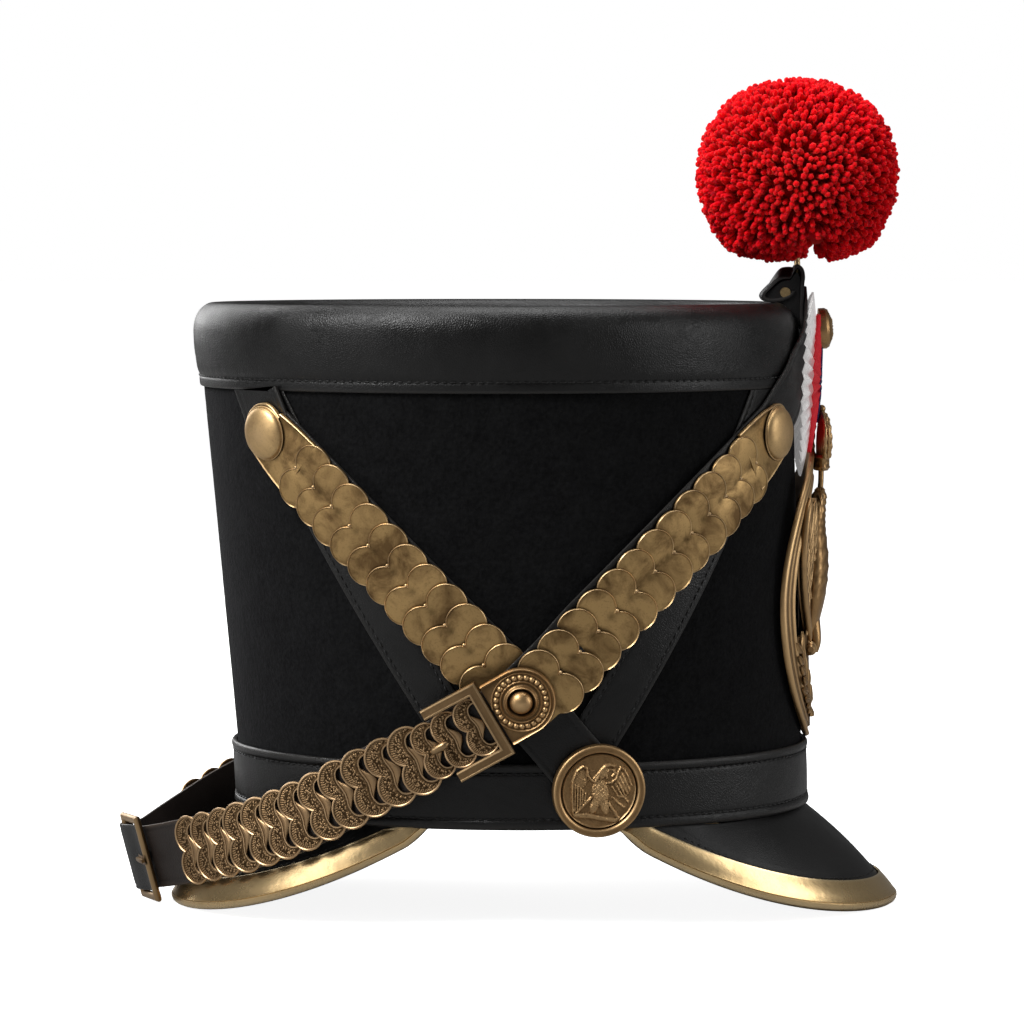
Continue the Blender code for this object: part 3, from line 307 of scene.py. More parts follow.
def plug(tree, socket, value):
    """Links a socket to another, or sets its value."""
    if isinstance(value, bpy.types.NodeSocket):
        tree.links.new(value, socket)
    elif isinstance(value, tuple) and len(value) == 3 and socket.type == "RGBA":
        socket.default_value = (*value, 1.0)
    else:
        socket.default_value = value


def add_node(tree, kind, inputs, **settings):
    node = tree.nodes.new(kind)
    for key, value in settings.items():
        setattr(node, key, value)
    for key, value in (inputs or {}).items():
        plug(tree, node.inputs[key], value)
    return node


def shader_group(name, inputs, outputs):
    """An empty shader group with named float and vector sockets, and its two end nodes."""
    tree = bpy.data.node_groups.new(name, "ShaderNodeTree")
    for label, kind in inputs:
        tree.interface.new_socket(label, in_out="INPUT", socket_type=kind)
    for label in outputs:
        tree.interface.new_socket(label, in_out="OUTPUT", socket_type="NodeSocketFloat")
    return tree, tree.nodes.new("NodeGroupInput").outputs, tree.nodes.new("NodeGroupOutput").inputs


def noise(tree, spot, scale, **inputs):
    return add_node(tree, "ShaderNodeTexNoise", {"Vector": spot, "Scale": scale, **inputs})


def number(tree, operation, first, second, third=0.0):
    inputs = dict(enumerate((first, second, third)))
    return add_node(tree, "ShaderNodeMath", inputs, operation=operation).outputs[0]


def map_range(tree, value, low, high, start=0.0, end=1.0):
    limits = {"From Min": low, "From Max": high, "To Min": start, "To Max": end}
    return add_node(tree, "ShaderNodeMapRange", {"Value": value, **limits}).outputs[0]


def tinted(colour, amount):
    return tuple(part * amount for part in colour)


FLOAT, VECTOR = "NodeSocketFloat", "NodeSocketVector"


def make_leather_grain():
    """Small pebbles with creases between them, over slow hollows."""
    tree, given, result = shader_group("leather_grain", (("Spot", VECTOR), ("Fineness", FLOAT)), ("Height", "Tone"))
    spot, fineness = given["Spot"], given["Fineness"]
    warp = noise(tree, spot, 90.0, Detail=2.0)
    inputs = {0: warp.outputs["Color"], 1: (0.003, 0.003, 0.003), 2: spot}
    shifted = add_node(tree, "ShaderNodeVectorMath", inputs, operation="MULTIPLY_ADD")
    inputs = {"Vector": shifted.outputs[0], "Scale": fineness, "Randomness": 1.0}
    cells = add_node(tree, "ShaderNodeTexVoronoi", inputs, feature="DISTANCE_TO_EDGE")
    pebble = number(tree, "MINIMUM", cells.outputs["Distance"], 0.32)
    fine = noise(tree, spot, number(tree, "MULTIPLY", fineness, 2.3), Detail=3.0)
    slow = noise(tree, spot, 55.0, Detail=3.0).outputs[0]
    height = number(tree, "MULTIPLY_ADD", pebble, 1.6, number(tree, "MULTIPLY", fine.outputs[0], 0.35))
    plug(tree, result["Height"], number(tree, "MULTIPLY_ADD", slow, 1.1, height))
    plug(tree, result["Tone"], slow)
    return tree


def make_patina():
    """Smudges of brown tarnish, fine specks, and dark hollows from an occlusion node: patina in the hollows, and
    painted shade under overlapping parts.
    """
    inputs = (("Spot", VECTOR), ("Smudge size", FLOAT), ("Hollow reach", FLOAT))
    tree, given, result = shader_group("brass_patina", inputs, ("Smudge", "Hollow", "Speck", "Height"))
    spot = given["Spot"]
    broad = noise(tree, spot, given["Smudge size"], Detail=5.0, Roughness=0.62, Distortion=0.6).outputs[0]
    shade = add_node(tree, "ShaderNodeAmbientOcclusion", {"Distance": given["Hollow reach"]}, samples=8)
    grit = noise(tree, spot, 1500.0, Detail=3.0).outputs[0]
    dents = noise(tree, spot, 170.0, Detail=4.0).outputs[0]
    plug(tree, result["Smudge"], map_range(tree, broad, 0.44, 0.65))
    # Hollow: the occlusion darkness, partly patina in the hollows and partly painted shade under overlapping parts
    plug(tree, result["Hollow"], map_range(tree, shade.outputs["AO"], 0.82, 0.28))
    plug(tree, result["Speck"], map_range(tree, grit, 0.55, 0.75))
    plug(tree, result["Height"], number(tree, "MULTIPLY_ADD", grit, 0.12, dents))
    return tree


def make_fibres():
    """Matted fibres: two crossed sets of short stretched streaks over soft lumps."""
    tree, given, result = shader_group("fibres", (("Spot", VECTOR), ("Fineness", FLOAT)), ("Height", "Tone"))
    streaks = []
    for turn, stretch in ((0.6, 0.22), (-0.7, 0.3)):
        inputs = {"Vector": given["Spot"], "Rotation": (turn, turn * 0.8, turn), "Scale": (1.0, 1.0, stretch)}
        turned = add_node(tree, "ShaderNodeMapping", inputs).outputs[0]
        streaks.append(noise(tree, turned, given["Fineness"], Detail=3.0, Distortion=1.2).outputs[0])
    lumps = noise(tree, given["Spot"], 140.0, Detail=4.0)
    both = number(tree, "ADD", *streaks)
    plug(tree, result["Height"], number(tree, "MULTIPLY_ADD", lumps.outputs[0], 0.8, both))
    plug(tree, result["Tone"], number(tree, "MULTIPLY", both, 0.5))
    return tree


LEATHER_GRAIN = make_leather_grain()
PATINA = make_patina()
FIBRES = make_fibres()


def leather(name, colour, worn_colour, roughness, fineness, depth):
    """Grained leather; fineness is its grain's scale and depth its relief in millimetres."""
    shader = Shader(name)
    grain = shader.group(LEATHER_GRAIN, Fineness=fineness)
    tone = shader.mix(shader.ramp(grain["Tone"], 0.35, 0.7), colour, tinted(colour, 1.6))
    worn = shader.mix(shader.math("MULTIPLY", shader.attribute("wear"), 0.8), tone, worn_colour)
    rough = shader.ramp(grain["Tone"], 0.3, 0.7, roughness - 0.07, roughness + 0.09)
    shader.set(Base_Color=worn, Roughness=rough, Specular_IOR_Level=0.34)
    shader.bump(grain["Height"], 0.8, depth)
    return shader.material


def brass(name, colour, dark, light, roughness, smudging, smudge_size, hollow_reach, granular=False):
    """Antique brass: smudged, bright on its worn edges, and dark in its hollows and under overlapping parts, partly
    patina and partly painted shade.
    """
    shader = Shader(name)
    patina = shader.group(PATINA, Smudge_size=smudge_size, Hollow_reach=hollow_reach * MM)
    base = shader.mix(shader.math("MULTIPLY", shader.attribute("shade"), 0.5), colour, tinted(colour, 0.62))
    smudge = shader.math("MULTIPLY", patina["Smudge"], smudging)
    base = shader.mix(smudge, base, dark)
    base = shader.mix(shader.math("MULTIPLY", patina["Speck"], 0.35), base, dark)
    # painted shade with patina: hollows, grooves and parts lying under other parts are darkened by occlusion and by the
    # recess attribute
    hollow_patina_and_shade = shader.math("MAXIMUM", patina["Hollow"], shader.attribute("recess"))
    worn = shader.attribute("wear")
    height = patina["Height"]
    if granular:  # round grains with dark gaps, and short strokes that run in from the rim
        grains = shader.node("ShaderNodeTexVoronoi", {"Vector": shader.spot, "Scale": 1250.0})
        gap = shader.ramp(grains.outputs["Distance"], 0.26, 0.56)
        wave = shader.math("SINE", shader.math("MULTIPLY", shader.attribute("around"), 7.0))
        stroke_gap = shader.math("SUBTRACT", shader.ramp(wave, -0.2, 0.5), gap)
        gap = shader.math("MULTIPLY_ADD", shader.attribute("strokes"), stroke_gap, gap)
        grained = shader.attribute("granular")
        gap = shader.math("MULTIPLY", gap, grained)
        # the gaps between grains darken as well: partly patina, partly painted shade
        hollow_patina_and_shade = shader.math("MAXIMUM", hollow_patina_and_shade, shader.math("MULTIPLY", gap, 0.9))
        grain_top = shader.math("MULTIPLY", shader.math("SUBTRACT", grained, gap), 0.45)
        worn = shader.math("MAXIMUM", worn, grain_top)
        height = shader.math("MULTIPLY_ADD", gap, -1.6, height)
    # painted shade and patina: this mask pulls the colour down almost to black
    base = shader.mix(shader.math("MULTIPLY", hollow_patina_and_shade, 0.93), base, tinted(dark, 0.16))
    rough = shader.math("MULTIPLY_ADD", hollow_patina_and_shade, 0.3, shader.math("MULTIPLY_ADD", smudge, 0.16, roughness))
    base = shader.mix(shader.math("MULTIPLY", worn, 0.85), base, light)
    shader.set(Base_Color=base, Roughness=rough, Metallic=1.0)
    shader.bump(height, 0.5, 0.22)
    return shader.material


def cloth(name, colour):
    """Ribbon with a fine rib across it, painted shade in the hollows of its pleats, and a faint glow of its own colour,
    which is painted light.
    """
    shader = Shader(name)
    fibres = shader.group(FIBRES, Fineness=1300.0)
    base = shader.mix(shader.ramp(fibres["Tone"], 0.35, 0.62), tinted(colour, 0.62), colour)
    # painted shade: the colour is darker in the hollows of the pleats
    base = shader.mix(shader.math("MULTIPLY", shader.attribute("recess"), 0.55), base, tinted(colour, 0.35))
    # painted light: the ribbon glows faintly in its own colour, which brightens its shaded pleats
    shader.set(Base_Color=base, Roughness=0.85, Emission_Color=colour, Emission_Strength=0.20)
    shader.set(Sheen_Weight=0.06, Sheen_Roughness=0.5)
    ribs = shader.math("SINE", shader.attribute("rib"))
    shader.bump(shader.math("MULTIPLY_ADD", ribs, 0.3, fibres["Height"]), 0.5, 0.12)
    return shader.material


def felt():
    """Black wool felt: a short nap over soft lumps."""
    shader = Shader("black_felt")
    nap = noise(shader.tree, shader.spot, 620.0, Detail=6.0, Roughness=0.68).outputs[0]
    lumps = noise(shader.tree, shader.spot, 130.0, Detail=4.0).outputs[0]
    tone = shader.ramp(shader.math("MULTIPLY_ADD", lumps, 0.35, nap), 0.50, 0.86)
    shader.set(Base_Color=shader.mix(tone, (0.0014, 0.0014, 0.0015), (0.0074, 0.0075, 0.0078)))
    shader.set(Roughness=0.96, Specular_IOR_Level=0.10)
    shader.set(Sheen_Weight=0.035, Sheen_Roughness=0.55, Sheen_Tint=(0.5, 0.5, 0.55))
    shader.bump(shader.math("MULTIPLY_ADD", lumps, 0.9, nap), 0.9, 0.7)
    return shader.material


def wool():
    """Yarn: darker deep in the ball, which is painted shade, and lighter and orange at its cut ends, which is a painted
    highlight.
    """
    shader = Shader("red_yarn")
    reach = shader.attribute("reach")
    fibres = shader.group(FIBRES, Fineness=2400.0)
    # painted shade: the colour darkens towards the root, deep in the ball
    deep = shader.mix(shader.ramp(reach, 0.35, 0.95), (0.44, 0.0, 0.006), (0.76, 0.001, 0.011))
    tip = shader.mix(shader.ramp(fibres["Tone"], 0.4, 0.65), (0.74, 0.002, 0.012), (0.97, 0.019, 0.018))
    # painted highlight: the cut ends are lighter than the rest of the yarn
    base = shader.mix(shader.ramp(reach, 0.86, 1.0), deep, tip)
    shade = shader.math("MULTIPLY", shader.attribute("shade"), 0.45)
    shader.set(Base_Color=shader.mix(shade, base, (0.50, 0.0005, 0.008)), Roughness=0.9, Specular_IOR_Level=0.04)
    shader.set(Sheen_Weight=0.42, Sheen_Roughness=0.4, Sheen_Tint=(1.0, 0.26, 0.14))
    shader.set(Subsurface_Weight=0.75, Subsurface_Radius=(1.0, 0.08, 0.08), Subsurface_Scale=0.0032)
    shader.bump(fibres["Height"], 0.6, 0.25)
    return shader.material


FELT = felt()
BLACK_LEATHER = leather("black_leather", (0.0036, 0.0035, 0.0034), (0.026, 0.024, 0.022), 0.36, 1150.0, 0.14)
PEAK_LEATHER_FINISH = leather("peak_leather", (0.0030, 0.0029, 0.0029), (0.022, 0.020, 0.019), 0.44, 1300.0, 0.08)
BROWN_LEATHER = leather("dark_brown_leather", (0.0105, 0.0074, 0.0060), (0.055, 0.038, 0.027), 0.42, 1000.0, 0.12)
THREAD = leather("waxed_thread", (0.0070, 0.0068, 0.0066), (0.03, 0.03, 0.03), 0.42, 3000.0, 0.05)
AGED_BRASS = brass(
    "aged_brass_scales", (0.54, 0.350, 0.148), (0.115, 0.064, 0.027), (0.80, 0.575, 0.325), 0.40, 0.86, 80.0, 2.3
)
STUD_BRASS = brass(
    "aged_brass_studs", (0.63, 0.428, 0.206), (0.20, 0.114, 0.050), (0.72, 0.505, 0.280), 0.46, 0.35, 80.0, 1.6
)
RELIEF_BRASS = brass(
    "aged_brass_relief", (0.44, 0.268, 0.121), (0.12, 0.064, 0.028), (0.74, 0.50, 0.255), 0.40, 0.38, 90.0, 1.2
)
CHIN_BRASS = brass(
    "aged_brass_chin", (0.315, 0.190, 0.088), (0.085, 0.047, 0.021), (0.57, 0.385, 0.215), 0.38, 0.25, 90.0, 1.0, True
)
BUCKLE_BRASS = brass(
    "aged_brass_buckle", (0.25, 0.155, 0.074), (0.10, 0.058, 0.027), (0.50, 0.34, 0.18), 0.36, 0.40, 60.0, 1.2
)
BRIGHT_BRASS = brass(
    "polished_brass", (0.80, 0.570, 0.285), (0.29, 0.180, 0.072), (0.92, 0.74, 0.46), 0.25, 0.30, 38.0, 1.6
)
WHITE_RIBBON = cloth("white_ribbon", (0.90, 0.88, 0.87))
RED_RIBBON = cloth("red_ribbon", (0.66, 0.008, 0.020))
BLUE_RIBBON = cloth("blue_ribbon", (0.014, 0.014, 0.085))
RED_YARN = wool()


# ---- meshes
def grid(rows, columns, closed=False, start=0):
    """Quads over rows of points that each go round."""
    row, column = np.meshgrid(np.arange(rows if closed else rows - 1), np.arange(columns), indexing="ij")
    next_row, next_column = (row + 1) % rows * columns, (column + 1) % columns
    row = row * columns
    corners = (row + column, row + next_column, next_row + next_column, next_row + column)
    return (np.stack(corners, axis=-1).reshape(-1, 4) + start).tolist()


def capped(rows, columns, start=0):
    """The quads of an open tube, and a face over each end."""
    ends = [list(range(first, first + columns)) for first in (start, start + (rows - 1) * columns)]
    return grid(rows, columns, False, start) + ends


def build(name, points, faces, material, sharp=45.0, shift=True, **attributes):
    """A smooth mesh object from points in millimetres; attributes are one number for each point."""
    points = np.asarray(points, float).reshape(-1, 3)
    if shift:
        points = points + (HAT_SHIFT, 0.0, 0.0)
    mesh = bpy.data.meshes.new(name)
    mesh.from_pydata((points * MM).tolist(), [], faces)
    for key, values in attributes.items():
        layer = mesh.attributes.new(key, "FLOAT", "POINT")
        layer.data.foreach_set("value", np.asarray(values, np.float32).reshape(-1))
    shape = bmesh.new()
    shape.from_mesh(mesh)
    bmesh.ops.recalc_face_normals(shape, faces=shape.faces)
    shape.to_mesh(mesh)
    shape.free()
    mesh.shade_smooth()
    mesh.set_sharp_from_angle(angle=math.radians(sharp))
    mesh.materials.append(material)
    return put(name, mesh)


def put(name, mesh):
    piece = bpy.data.objects.new(name, mesh)
    COLLECTION.objects.link(piece)
    return piece


def finish(piece, slot, *nodes):
    """Puts a piece on the hat's body, in place of the CAD nodes that it stands for."""
    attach(piece, "root")
    if nodes:
        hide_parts(*nodes)
    return piece


def tube(name, sections, material, closed=False, sharp=45.0, **attributes):
    """A closed form through rows of points that each go round it."""
    sections = np.asarray(sections, float)
    rows, columns = sections.shape[:2]
    faces = grid(rows, columns, True) if closed else capped(rows, columns)
    return build(name, sections, faces, material, sharp, **attributes)


def join(name, pieces):
    """One object from several of one material."""
    shape = bmesh.new()
    for piece in pieces:
        shape.from_mesh(piece.data)
    for face in shape.faces:
        face.material_index = 0
    mesh = bpy.data.meshes.new(name)
    shape.to_mesh(mesh)
    shape.free()
    mesh.materials.append(pieces[0].data.materials[0])
    for piece in pieces:
        bpy.data.objects.remove(piece)
    return put(name, mesh)


def strip_section(half_width, thickness, groove, depth):
    """A leather strip's section, (across, out): burnished round edges and a sunk line for each row of stitches."""
    seam = half_width - groove
    side = [
        (half_width - 0.45, 0.0),
        (half_width - 0.12, 0.13),
        (half_width, thickness * 0.5),
        (half_width - 0.12, thickness - 0.22),
        (half_width - 0.45, thickness - 0.04),
        (seam + 0.9, thickness + 0.02),
        (seam + 0.3, thickness - depth * 0.7),
        (seam, thickness - depth),
        (seam - 0.3, thickness - depth * 0.7),
        (seam - 0.9, thickness + 0.02),
        (seam - 2.2, thickness + 0.05),
    ]
    middle = [(share * (seam - 2.2), thickness + 0.05) for share in (0.5, 0.0, -0.5)]
    return side + middle + [(-across, out) for across, out in reversed(side)]


EDGE_WEAR = np.array([0, 0.2, 1, 1, 0.5])
STRIP_WEAR = np.concatenate([EDGE_WEAR, np.zeros(15), EDGE_WEAR[::-1]])


def strip(name, route, distances, half_width, thickness, lift, material, groove=2.4, first=None, last=None, centre=0.0):
    """A leather strip along a route; half width and lift are given at each distance.

    first and last, as (axis, value), say where the end rows lie on one axis."""
    half_width, lift = (np.broadcast_to(values, distances.shape) for values in (half_width, lift))
    sections = np.array([strip_section(width, thickness, groove, 0.16) for width in half_width])
    sway = 0.05 * np.sin(distances * 0.9) + 0.04 * np.sin(distances * 2.3 + 1.0)
    rows = route.place(distances[:, None], sections[..., 0] + centre, sections[..., 1] + (lift + sway * 0.4)[:, None])
    along = route.frames(distances)[1]
    for index, limit in ((0, first), (-1, last)):
        if limit:
            axis, value = limit
            rows[index] += along[index] * ((value - rows[index][:, axis]) / along[index][axis])[:, None]
    return tube(name, rows, material, wear=np.tile(STRIP_WEAR, len(distances)))


# ---- copies along a path or over a surface
def copy_tree():
    """Sets a copy of one object at each point, turned by the point's along and outward vectors."""
    tree = bpy.data.node_groups.new("set_copies", "GeometryNodeTree")
    inputs = (
        ("Geometry", "Geometry"), ("Copy", "Object"), ("Material", "Material"),
        ("Turn spread", "Float"), ("Size spread", "Float"), ("Seed", "Int"),
    )
    for label, kind in inputs:
        tree.interface.new_socket(label, in_out="INPUT", socket_type="NodeSocket" + kind)
    tree.interface.new_socket("Geometry", in_out="OUTPUT", socket_type="NodeSocketGeometry")
    given = tree.nodes.new("NodeGroupInput").outputs
    result = tree.nodes.new("NodeGroupOutput").inputs

    def make(kind, inputs, output=0, **settings):
        return add_node(tree, kind, inputs, **settings).outputs[output]

    def random(kind, output, limits={}):
        return make("FunctionNodeRandomValue", {**limits, "Seed": given["Seed"]}, output, data_type=kind)

    along, outward = (
        make("GeometryNodeInputNamedAttribute", {"Name": name}, "Attribute", data_type="FLOAT_VECTOR")
        for name in ("along", "outward")
    )
    turn = make("FunctionNodeAxesToRotation", {0: outward, 1: along}, primary_axis="Z", secondary_axis="X")
    low, high = (
        make("ShaderNodeVectorMath", {0: (sign, sign, sign), "Scale": given["Turn spread"]}, operation="SCALE")
        for sign in (-1.0, 1.0)
    )
    loose = make("FunctionNodeEulerToRotation", {"Euler": random("FLOAT_VECTOR", 0, {0: low, 1: high})})
    turned = make("FunctionNodeRotateRotation", {0: turn, 1: loose}, rotation_space="LOCAL")
    least, most = (number(tree, way, 1.0, given["Size spread"]) for way in ("SUBTRACT", "ADD"))
    inputs = {
        "Points": given["Geometry"],
        "Instance": make("GeometryNodeObjectInfo", {"Object": given["Copy"]}, "Geometry"),
        "Rotation": turned,
        "Scale": random("FLOAT", 1, {2: least, 3: most}),
    }
    copies = make("GeometryNodeInstanceOnPoints", inputs)
    inputs = {"Name": "shade", "Geometry": copies, "Value": random("FLOAT", 1)}
    marked = make("GeometryNodeStoreNamedAttribute", inputs, data_type="FLOAT", domain="INSTANCE")
    real = make("GeometryNodeRealizeInstances", {0: marked})
    plug(tree, result["Geometry"], make("GeometryNodeSetMaterial", {"Geometry": real, "Material": given["Material"]}))
    return tree


COPIES = copy_tree()


def set_copies(name, copy, points, along, outward, material, turn_spread, size_spread, seed):
    """One mesh of copies, each at its own point; points are in millimetres."""
    points = points + (HAT_SHIFT, 0.0, 0.0)
    mesh = bpy.data.meshes.new(name + "_points")
    mesh.from_pydata((points * MM).tolist(), [], [])
    for key, values in (("along", along), ("outward", outward)):
        layer = mesh.attributes.new(key, "FLOAT_VECTOR", "POINT")
        values = np.broadcast_to(values, points.shape)
        layer.data.foreach_set("vector", np.ascontiguousarray(values, np.float32).reshape(-1))
    carrier = put(name + "_carrier", mesh)
    modifier = carrier.modifiers.new("copies", "NODES")
    modifier.node_group = COPIES
    sockets = {item.name: item.identifier for item in COPIES.interface.items_tree if item.in_out == "INPUT"}
    values = {"Copy": copy, "Material": material, "Turn spread": turn_spread, "Size spread": size_spread, "Seed": seed}
    for label, value in values.items():
        modifier[sockets[label]] = value
    bpy.context.view_layer.update()
    graph = bpy.context.evaluated_depsgraph_get()
    real = bpy.data.meshes.new_from_object(carrier.evaluated_get(graph))
    real.name = name
    bpy.data.objects.remove(carrier)
    return put(name, real)


def pattern(name, points, faces, material, **attributes):
    """A master to be copied: its points are about its own origin."""
    return build(name, points, faces, material, shift=False, **attributes)


def stitch_master():
    """One stitch: a twisted thread that dives at both ends."""
    rows, around = 6, 6
    share = np.linspace(-1, 1, rows)[:, None]
    turn = full_turn(around)
    strand = 1 + 0.16 * np.cos(2 * turn + 5.0 * share)
    radius = 0.34 * np.sqrt(np.maximum(1 - (np.abs(share) * 0.93) ** 4, 0.02)) * strand
    y = radius * np.cos(turn)
    z = radius * np.sin(turn) * 0.85 - 0.30 * share**4 + 0.06
    points = stack(share * 1.15, y, z)
    return pattern("stitch", points, capped(rows, around), THREAD)


STITCH = stitch_master()
STITCH_LINES = []  # (places, along, outward) of every stitched line


def stitch_along(points, outward, pitch, closed=False):
    """Records evenly spaced stitches along a line."""
    if closed:
        points, outward = (np.vstack([rows, rows[:1]]) for rows in (points, outward))
    route = Route(points, outward)
    count = max(2, int(round(route.length / pitch)))
    place, along, _, out = route.frames((np.arange(count) + 0.5) * route.length / count)
    STITCH_LINES.append((place, along, out))


def stitch_round(level, proud, pitch):
    """Records a row of stitches right round the crown."""
    angles, heights = np.arange(360) * 1.0, np.full(360, level)
    stitch_along(wall_point(angles, heights, proud), wall_normal(angles, heights), pitch, closed=True)


# ---- crown
def ripple(angle, height, seed):
    """Slow unevenness of hand-made leather or felt, about -1 to 1."""
    turn = np.radians(angle)
    total = 0.0
    for index, (waves, rise) in enumerate(((3, 0.02), (5, 0.045), (9, 0.03), (14, 0.09), (23, 0.05))):
        total = total + np.sin(waves * turn + rise * height + seed * (index + 1.7)) / (1.3 + index * 0.55)
    return total / 2.2


def ring_form(name, profile, steps, material, waviness, **attributes):
    """A closed ring round the crown; the profile is a closed line of (proud, height)."""
    angles = np.arange(steps)[:, None] * 360.0 / steps
    proud, height = (np.broadcast_to(values, (steps, len(profile))) for values in profile.T)
    points = wall_point(angles, height, proud + waviness(angles, height, proud))
    spread = {key: np.tile(values, steps) for key, values in attributes.items()}
    return tube(name, points, material, closed=True, sharp=50.0, **spread)


def line_between(start, end, count):
    share = np.linspace(0, 1, count, endpoint=False)[:, None]
    return np.asarray(start, float) * (1 - share) + np.asarray(end, float) * share


def make_felt():
    """The felt wall: gently uneven outside, plain inside."""
    outer = line_between((0.0, 38.6), (0.0, FELT_TOP - 0.4), 70)
    inner = line_between((-FELT_WALL, FELT_TOP - 0.4), (-FELT_WALL, 38.6), 24)
    rim = [(-0.4, FELT_TOP), (-FELT_WALL + 0.4, FELT_TOP)]
    foot = [(-FELT_WALL + 0.5, 38.2), (-0.5, 38.2)]
    profile = np.vstack([outer, rim, inner, foot])

    def waviness(angle, height, proud):
        fade = smooth_step((height - 62) / 20) * smooth_step((192 - height) / 20)
        fine = 0.05 * np.sin(angle * 3.7 + height * 1.9) * np.sin(angle * 2.3 - height * 1.3 + 2.0)
        return (0.16 * ripple(angle, height, 0.7) - 0.05) * fade * (proud > -1.0) + fine * (proud > -0.1)

    finish(ring_form("felt_crown", profile, 240, FELT, waviness), "felt", "felt_body")


def make_top_band():
    """Padded leather rolled over the rim: a flat stitched flange, a full roll and the lining side down to the disc."""
    outside = [
        (0.35, 193.3), (0.9, 193.05), (1.35, 193.5), (1.45, 194.6), (1.42, 195.9), (1.2, 196.7), (1.15, 197.1),
        (1.35, 197.7), (1.9, 199.5), (2.25, 203.0), (2.42, 207.0), (2.35, 211.0), (1.95, 215.0), (1.05, 218.0),
        (-0.5, 220.6), (-2.6, 222.5), (-5.0, 223.7), (-7.0, 223.5), (-8.7, 222.0), (-9.9, 219.2), (-10.4, 215.5),
        (-10.5, 211.0), (-10.4, 207.0),
    ]
    line = spline(outside, 4)
    back = np.array([(-7.0, 207.0), (-FELT_WALL - GAP, 207.0), (-FELT_WALL - GAP, 214.7), (0.3, 214.7), (0.3, 204.0)])
    profile = np.vstack([line, back])
    flange = bump(profile[:, 1] - 193.4, 1.0) * (profile[:, 0] > 0.3)

    def waviness(angle, height, proud):
        outer = smooth_step((proud + 9) / 4) * (height > 197.4)
        slack = 0.30 * ripple(angle, height, 2.1) * outer * smooth_step((height - 197) / 8)
        pucker = 0.10 * np.sin(angle * 8.1 + 1.5 * np.sin(angle * 1.7)) * bump(height - 199.5, 5.0) * (proud > 0.8)
        crease = 0.07 * np.sin(angle * 3.1 + height * 0.5) * bump(height - 206, 12.0) * outer
        return slack + pucker + crease

    band = ring_form("top_band_leather", profile, 360, BLACK_LEATHER, waviness, wear=flange * 0.8)
    finish(band, "leather", "top_band")
    stitch_round(197.05, 1.30, 3.2)


def make_lower_band():
    """The brow band: two folded edges with a row of stitches inside each."""
    outside = [
        (0.35, 37.55), (1.3, 37.35), (2.1, 37.9), (2.42, 39.1), (2.2, 40.4), (1.75, 41.0), (1.62, 41.35), (1.78, 41.8),
        (1.92, 43.0), (1.98, 46.0), (2.0, 49.4), (1.98, 53.0), (1.92, 56.4), (1.75, 57.3), (1.6, 57.7), (1.75, 58.1),
        (2.2, 58.7), (2.4, 59.8), (2.05, 60.9), (1.3, 61.3), (0.35, 61.1),
    ]
    profile = np.vstack([spline(outside, 3), [(0.3, 52.0), (0.3, 45.0)]])
    edges = np.maximum(bump(profile[:, 1] - 38.4, 1.6), bump(profile[:, 1] - 60.5, 1.4)) * (profile[:, 0] > 1.2)

    def waviness(angle, height, proud):
        inside = bump(height - 49.4, 9.0) * (proud > 1.0)
        fine = 0.05 * np.sin(angle * 7.3) * (bump(height - 43.0, 2.5) + bump(height - 56.2, 2.5)) * (proud > 1.0)
        return 0.09 * ripple(angle, height, 4.4) * inside + fine

    finish(ring_form("brow_band_leather", profile, 300, BLACK_LEATHER, waviness, wear=edges * 0.7), "leather", "lower_band")
    for level in (41.3, 57.7):
        stitch_round(level, 1.78, 3.1)


def make_crown_top():
    """The sunk leather disc, a little slack towards its middle."""
    steps = 180
    share = np.linspace(0, 1, 26) ** 0.9
    points = []
    for level, sag, amounts in ((DISC_BOTTOM + 2.0, -0.5, share), (DISC_BOTTOM, -0.35, share[::-1])):
        rim = wall_point(np.arange(steps) * 360.0 / steps, level, RIM_INSIDE - GAP)
        middle = np.array([oval(level)[0], 0.0, level])
        for amount in amounts:
            row = middle + (rim - middle) * max(amount, 0.012)
            row[:, 2] += sag * (1 - amount**2) + 0.06 * ripple(np.arange(steps) * 2.0, 60.0 * amount, 5.0) * amount
            points.append(row)
    finish(tube("crown_disc_leather", points, BLACK_LEATHER), "leather", "crown_top")


def make_chevrons():
    """Four slanting leather strips, stitched along both edges."""
    heights = np.linspace(BAND_TOP + GAP, TOP_BAND_EDGE - GAP, 90)
    share = (heights - heights[0]) / (heights[-1] - heights[0])
    seam = 2.6  # from the strip's edge in to its stitches
    rows = (("rear", 103.8, 93.7, 145.6, 133.6), ("front", 84.3, 73.0, 34.8, 23.4))  # name, angles of the edges
    for side_name, side in SIDES:
        for name, low_rear, low_front, high_rear, high_front in rows:
            rear = low_rear + (high_rear - low_rear) * share
            front = low_front + (high_front - low_front) * share
            middle = (rear + front) / 2
            reach = wall_point(rear, heights, 0, side) - wall_point(front, heights, 0, side)
            half = np.linalg.norm(reach, axis=1) / 2
            per_mm = (rear - front) / 2 / half
            section = np.array([strip_section(width, 0.85, seam, 0.14) for width in half])
            angle = middle[:, None] - section[..., 0] * per_mm[:, None]
            proud = section[..., 1] + 0.36 + (0.05 * ripple(middle * 3, heights, 3.0))[:, None]
            points = wall_point(angle, heights[:, None], proud, side)
            wear = np.tile(STRIP_WEAR * 0.9, len(heights))
            piece = tube(f"v_strip_{name}_{side_name}", points, BLACK_LEATHER, wear=wear)
            finish(piece, "leather", f"side_chevron_{name}_{side_name}")
            for across in (-1, 1):
                angle = middle + across * (half - seam) * per_mm
                line = wall_point(angle, heights, 1.15, side)
                stitch_along(line[1:-1], wall_normal(angle, heights, side)[1:-1], 3.1)


# ---- peaks
PEAK_STEPS = 160
PEAK_SEAM = 11.2  # from the rim in to the row of stitches


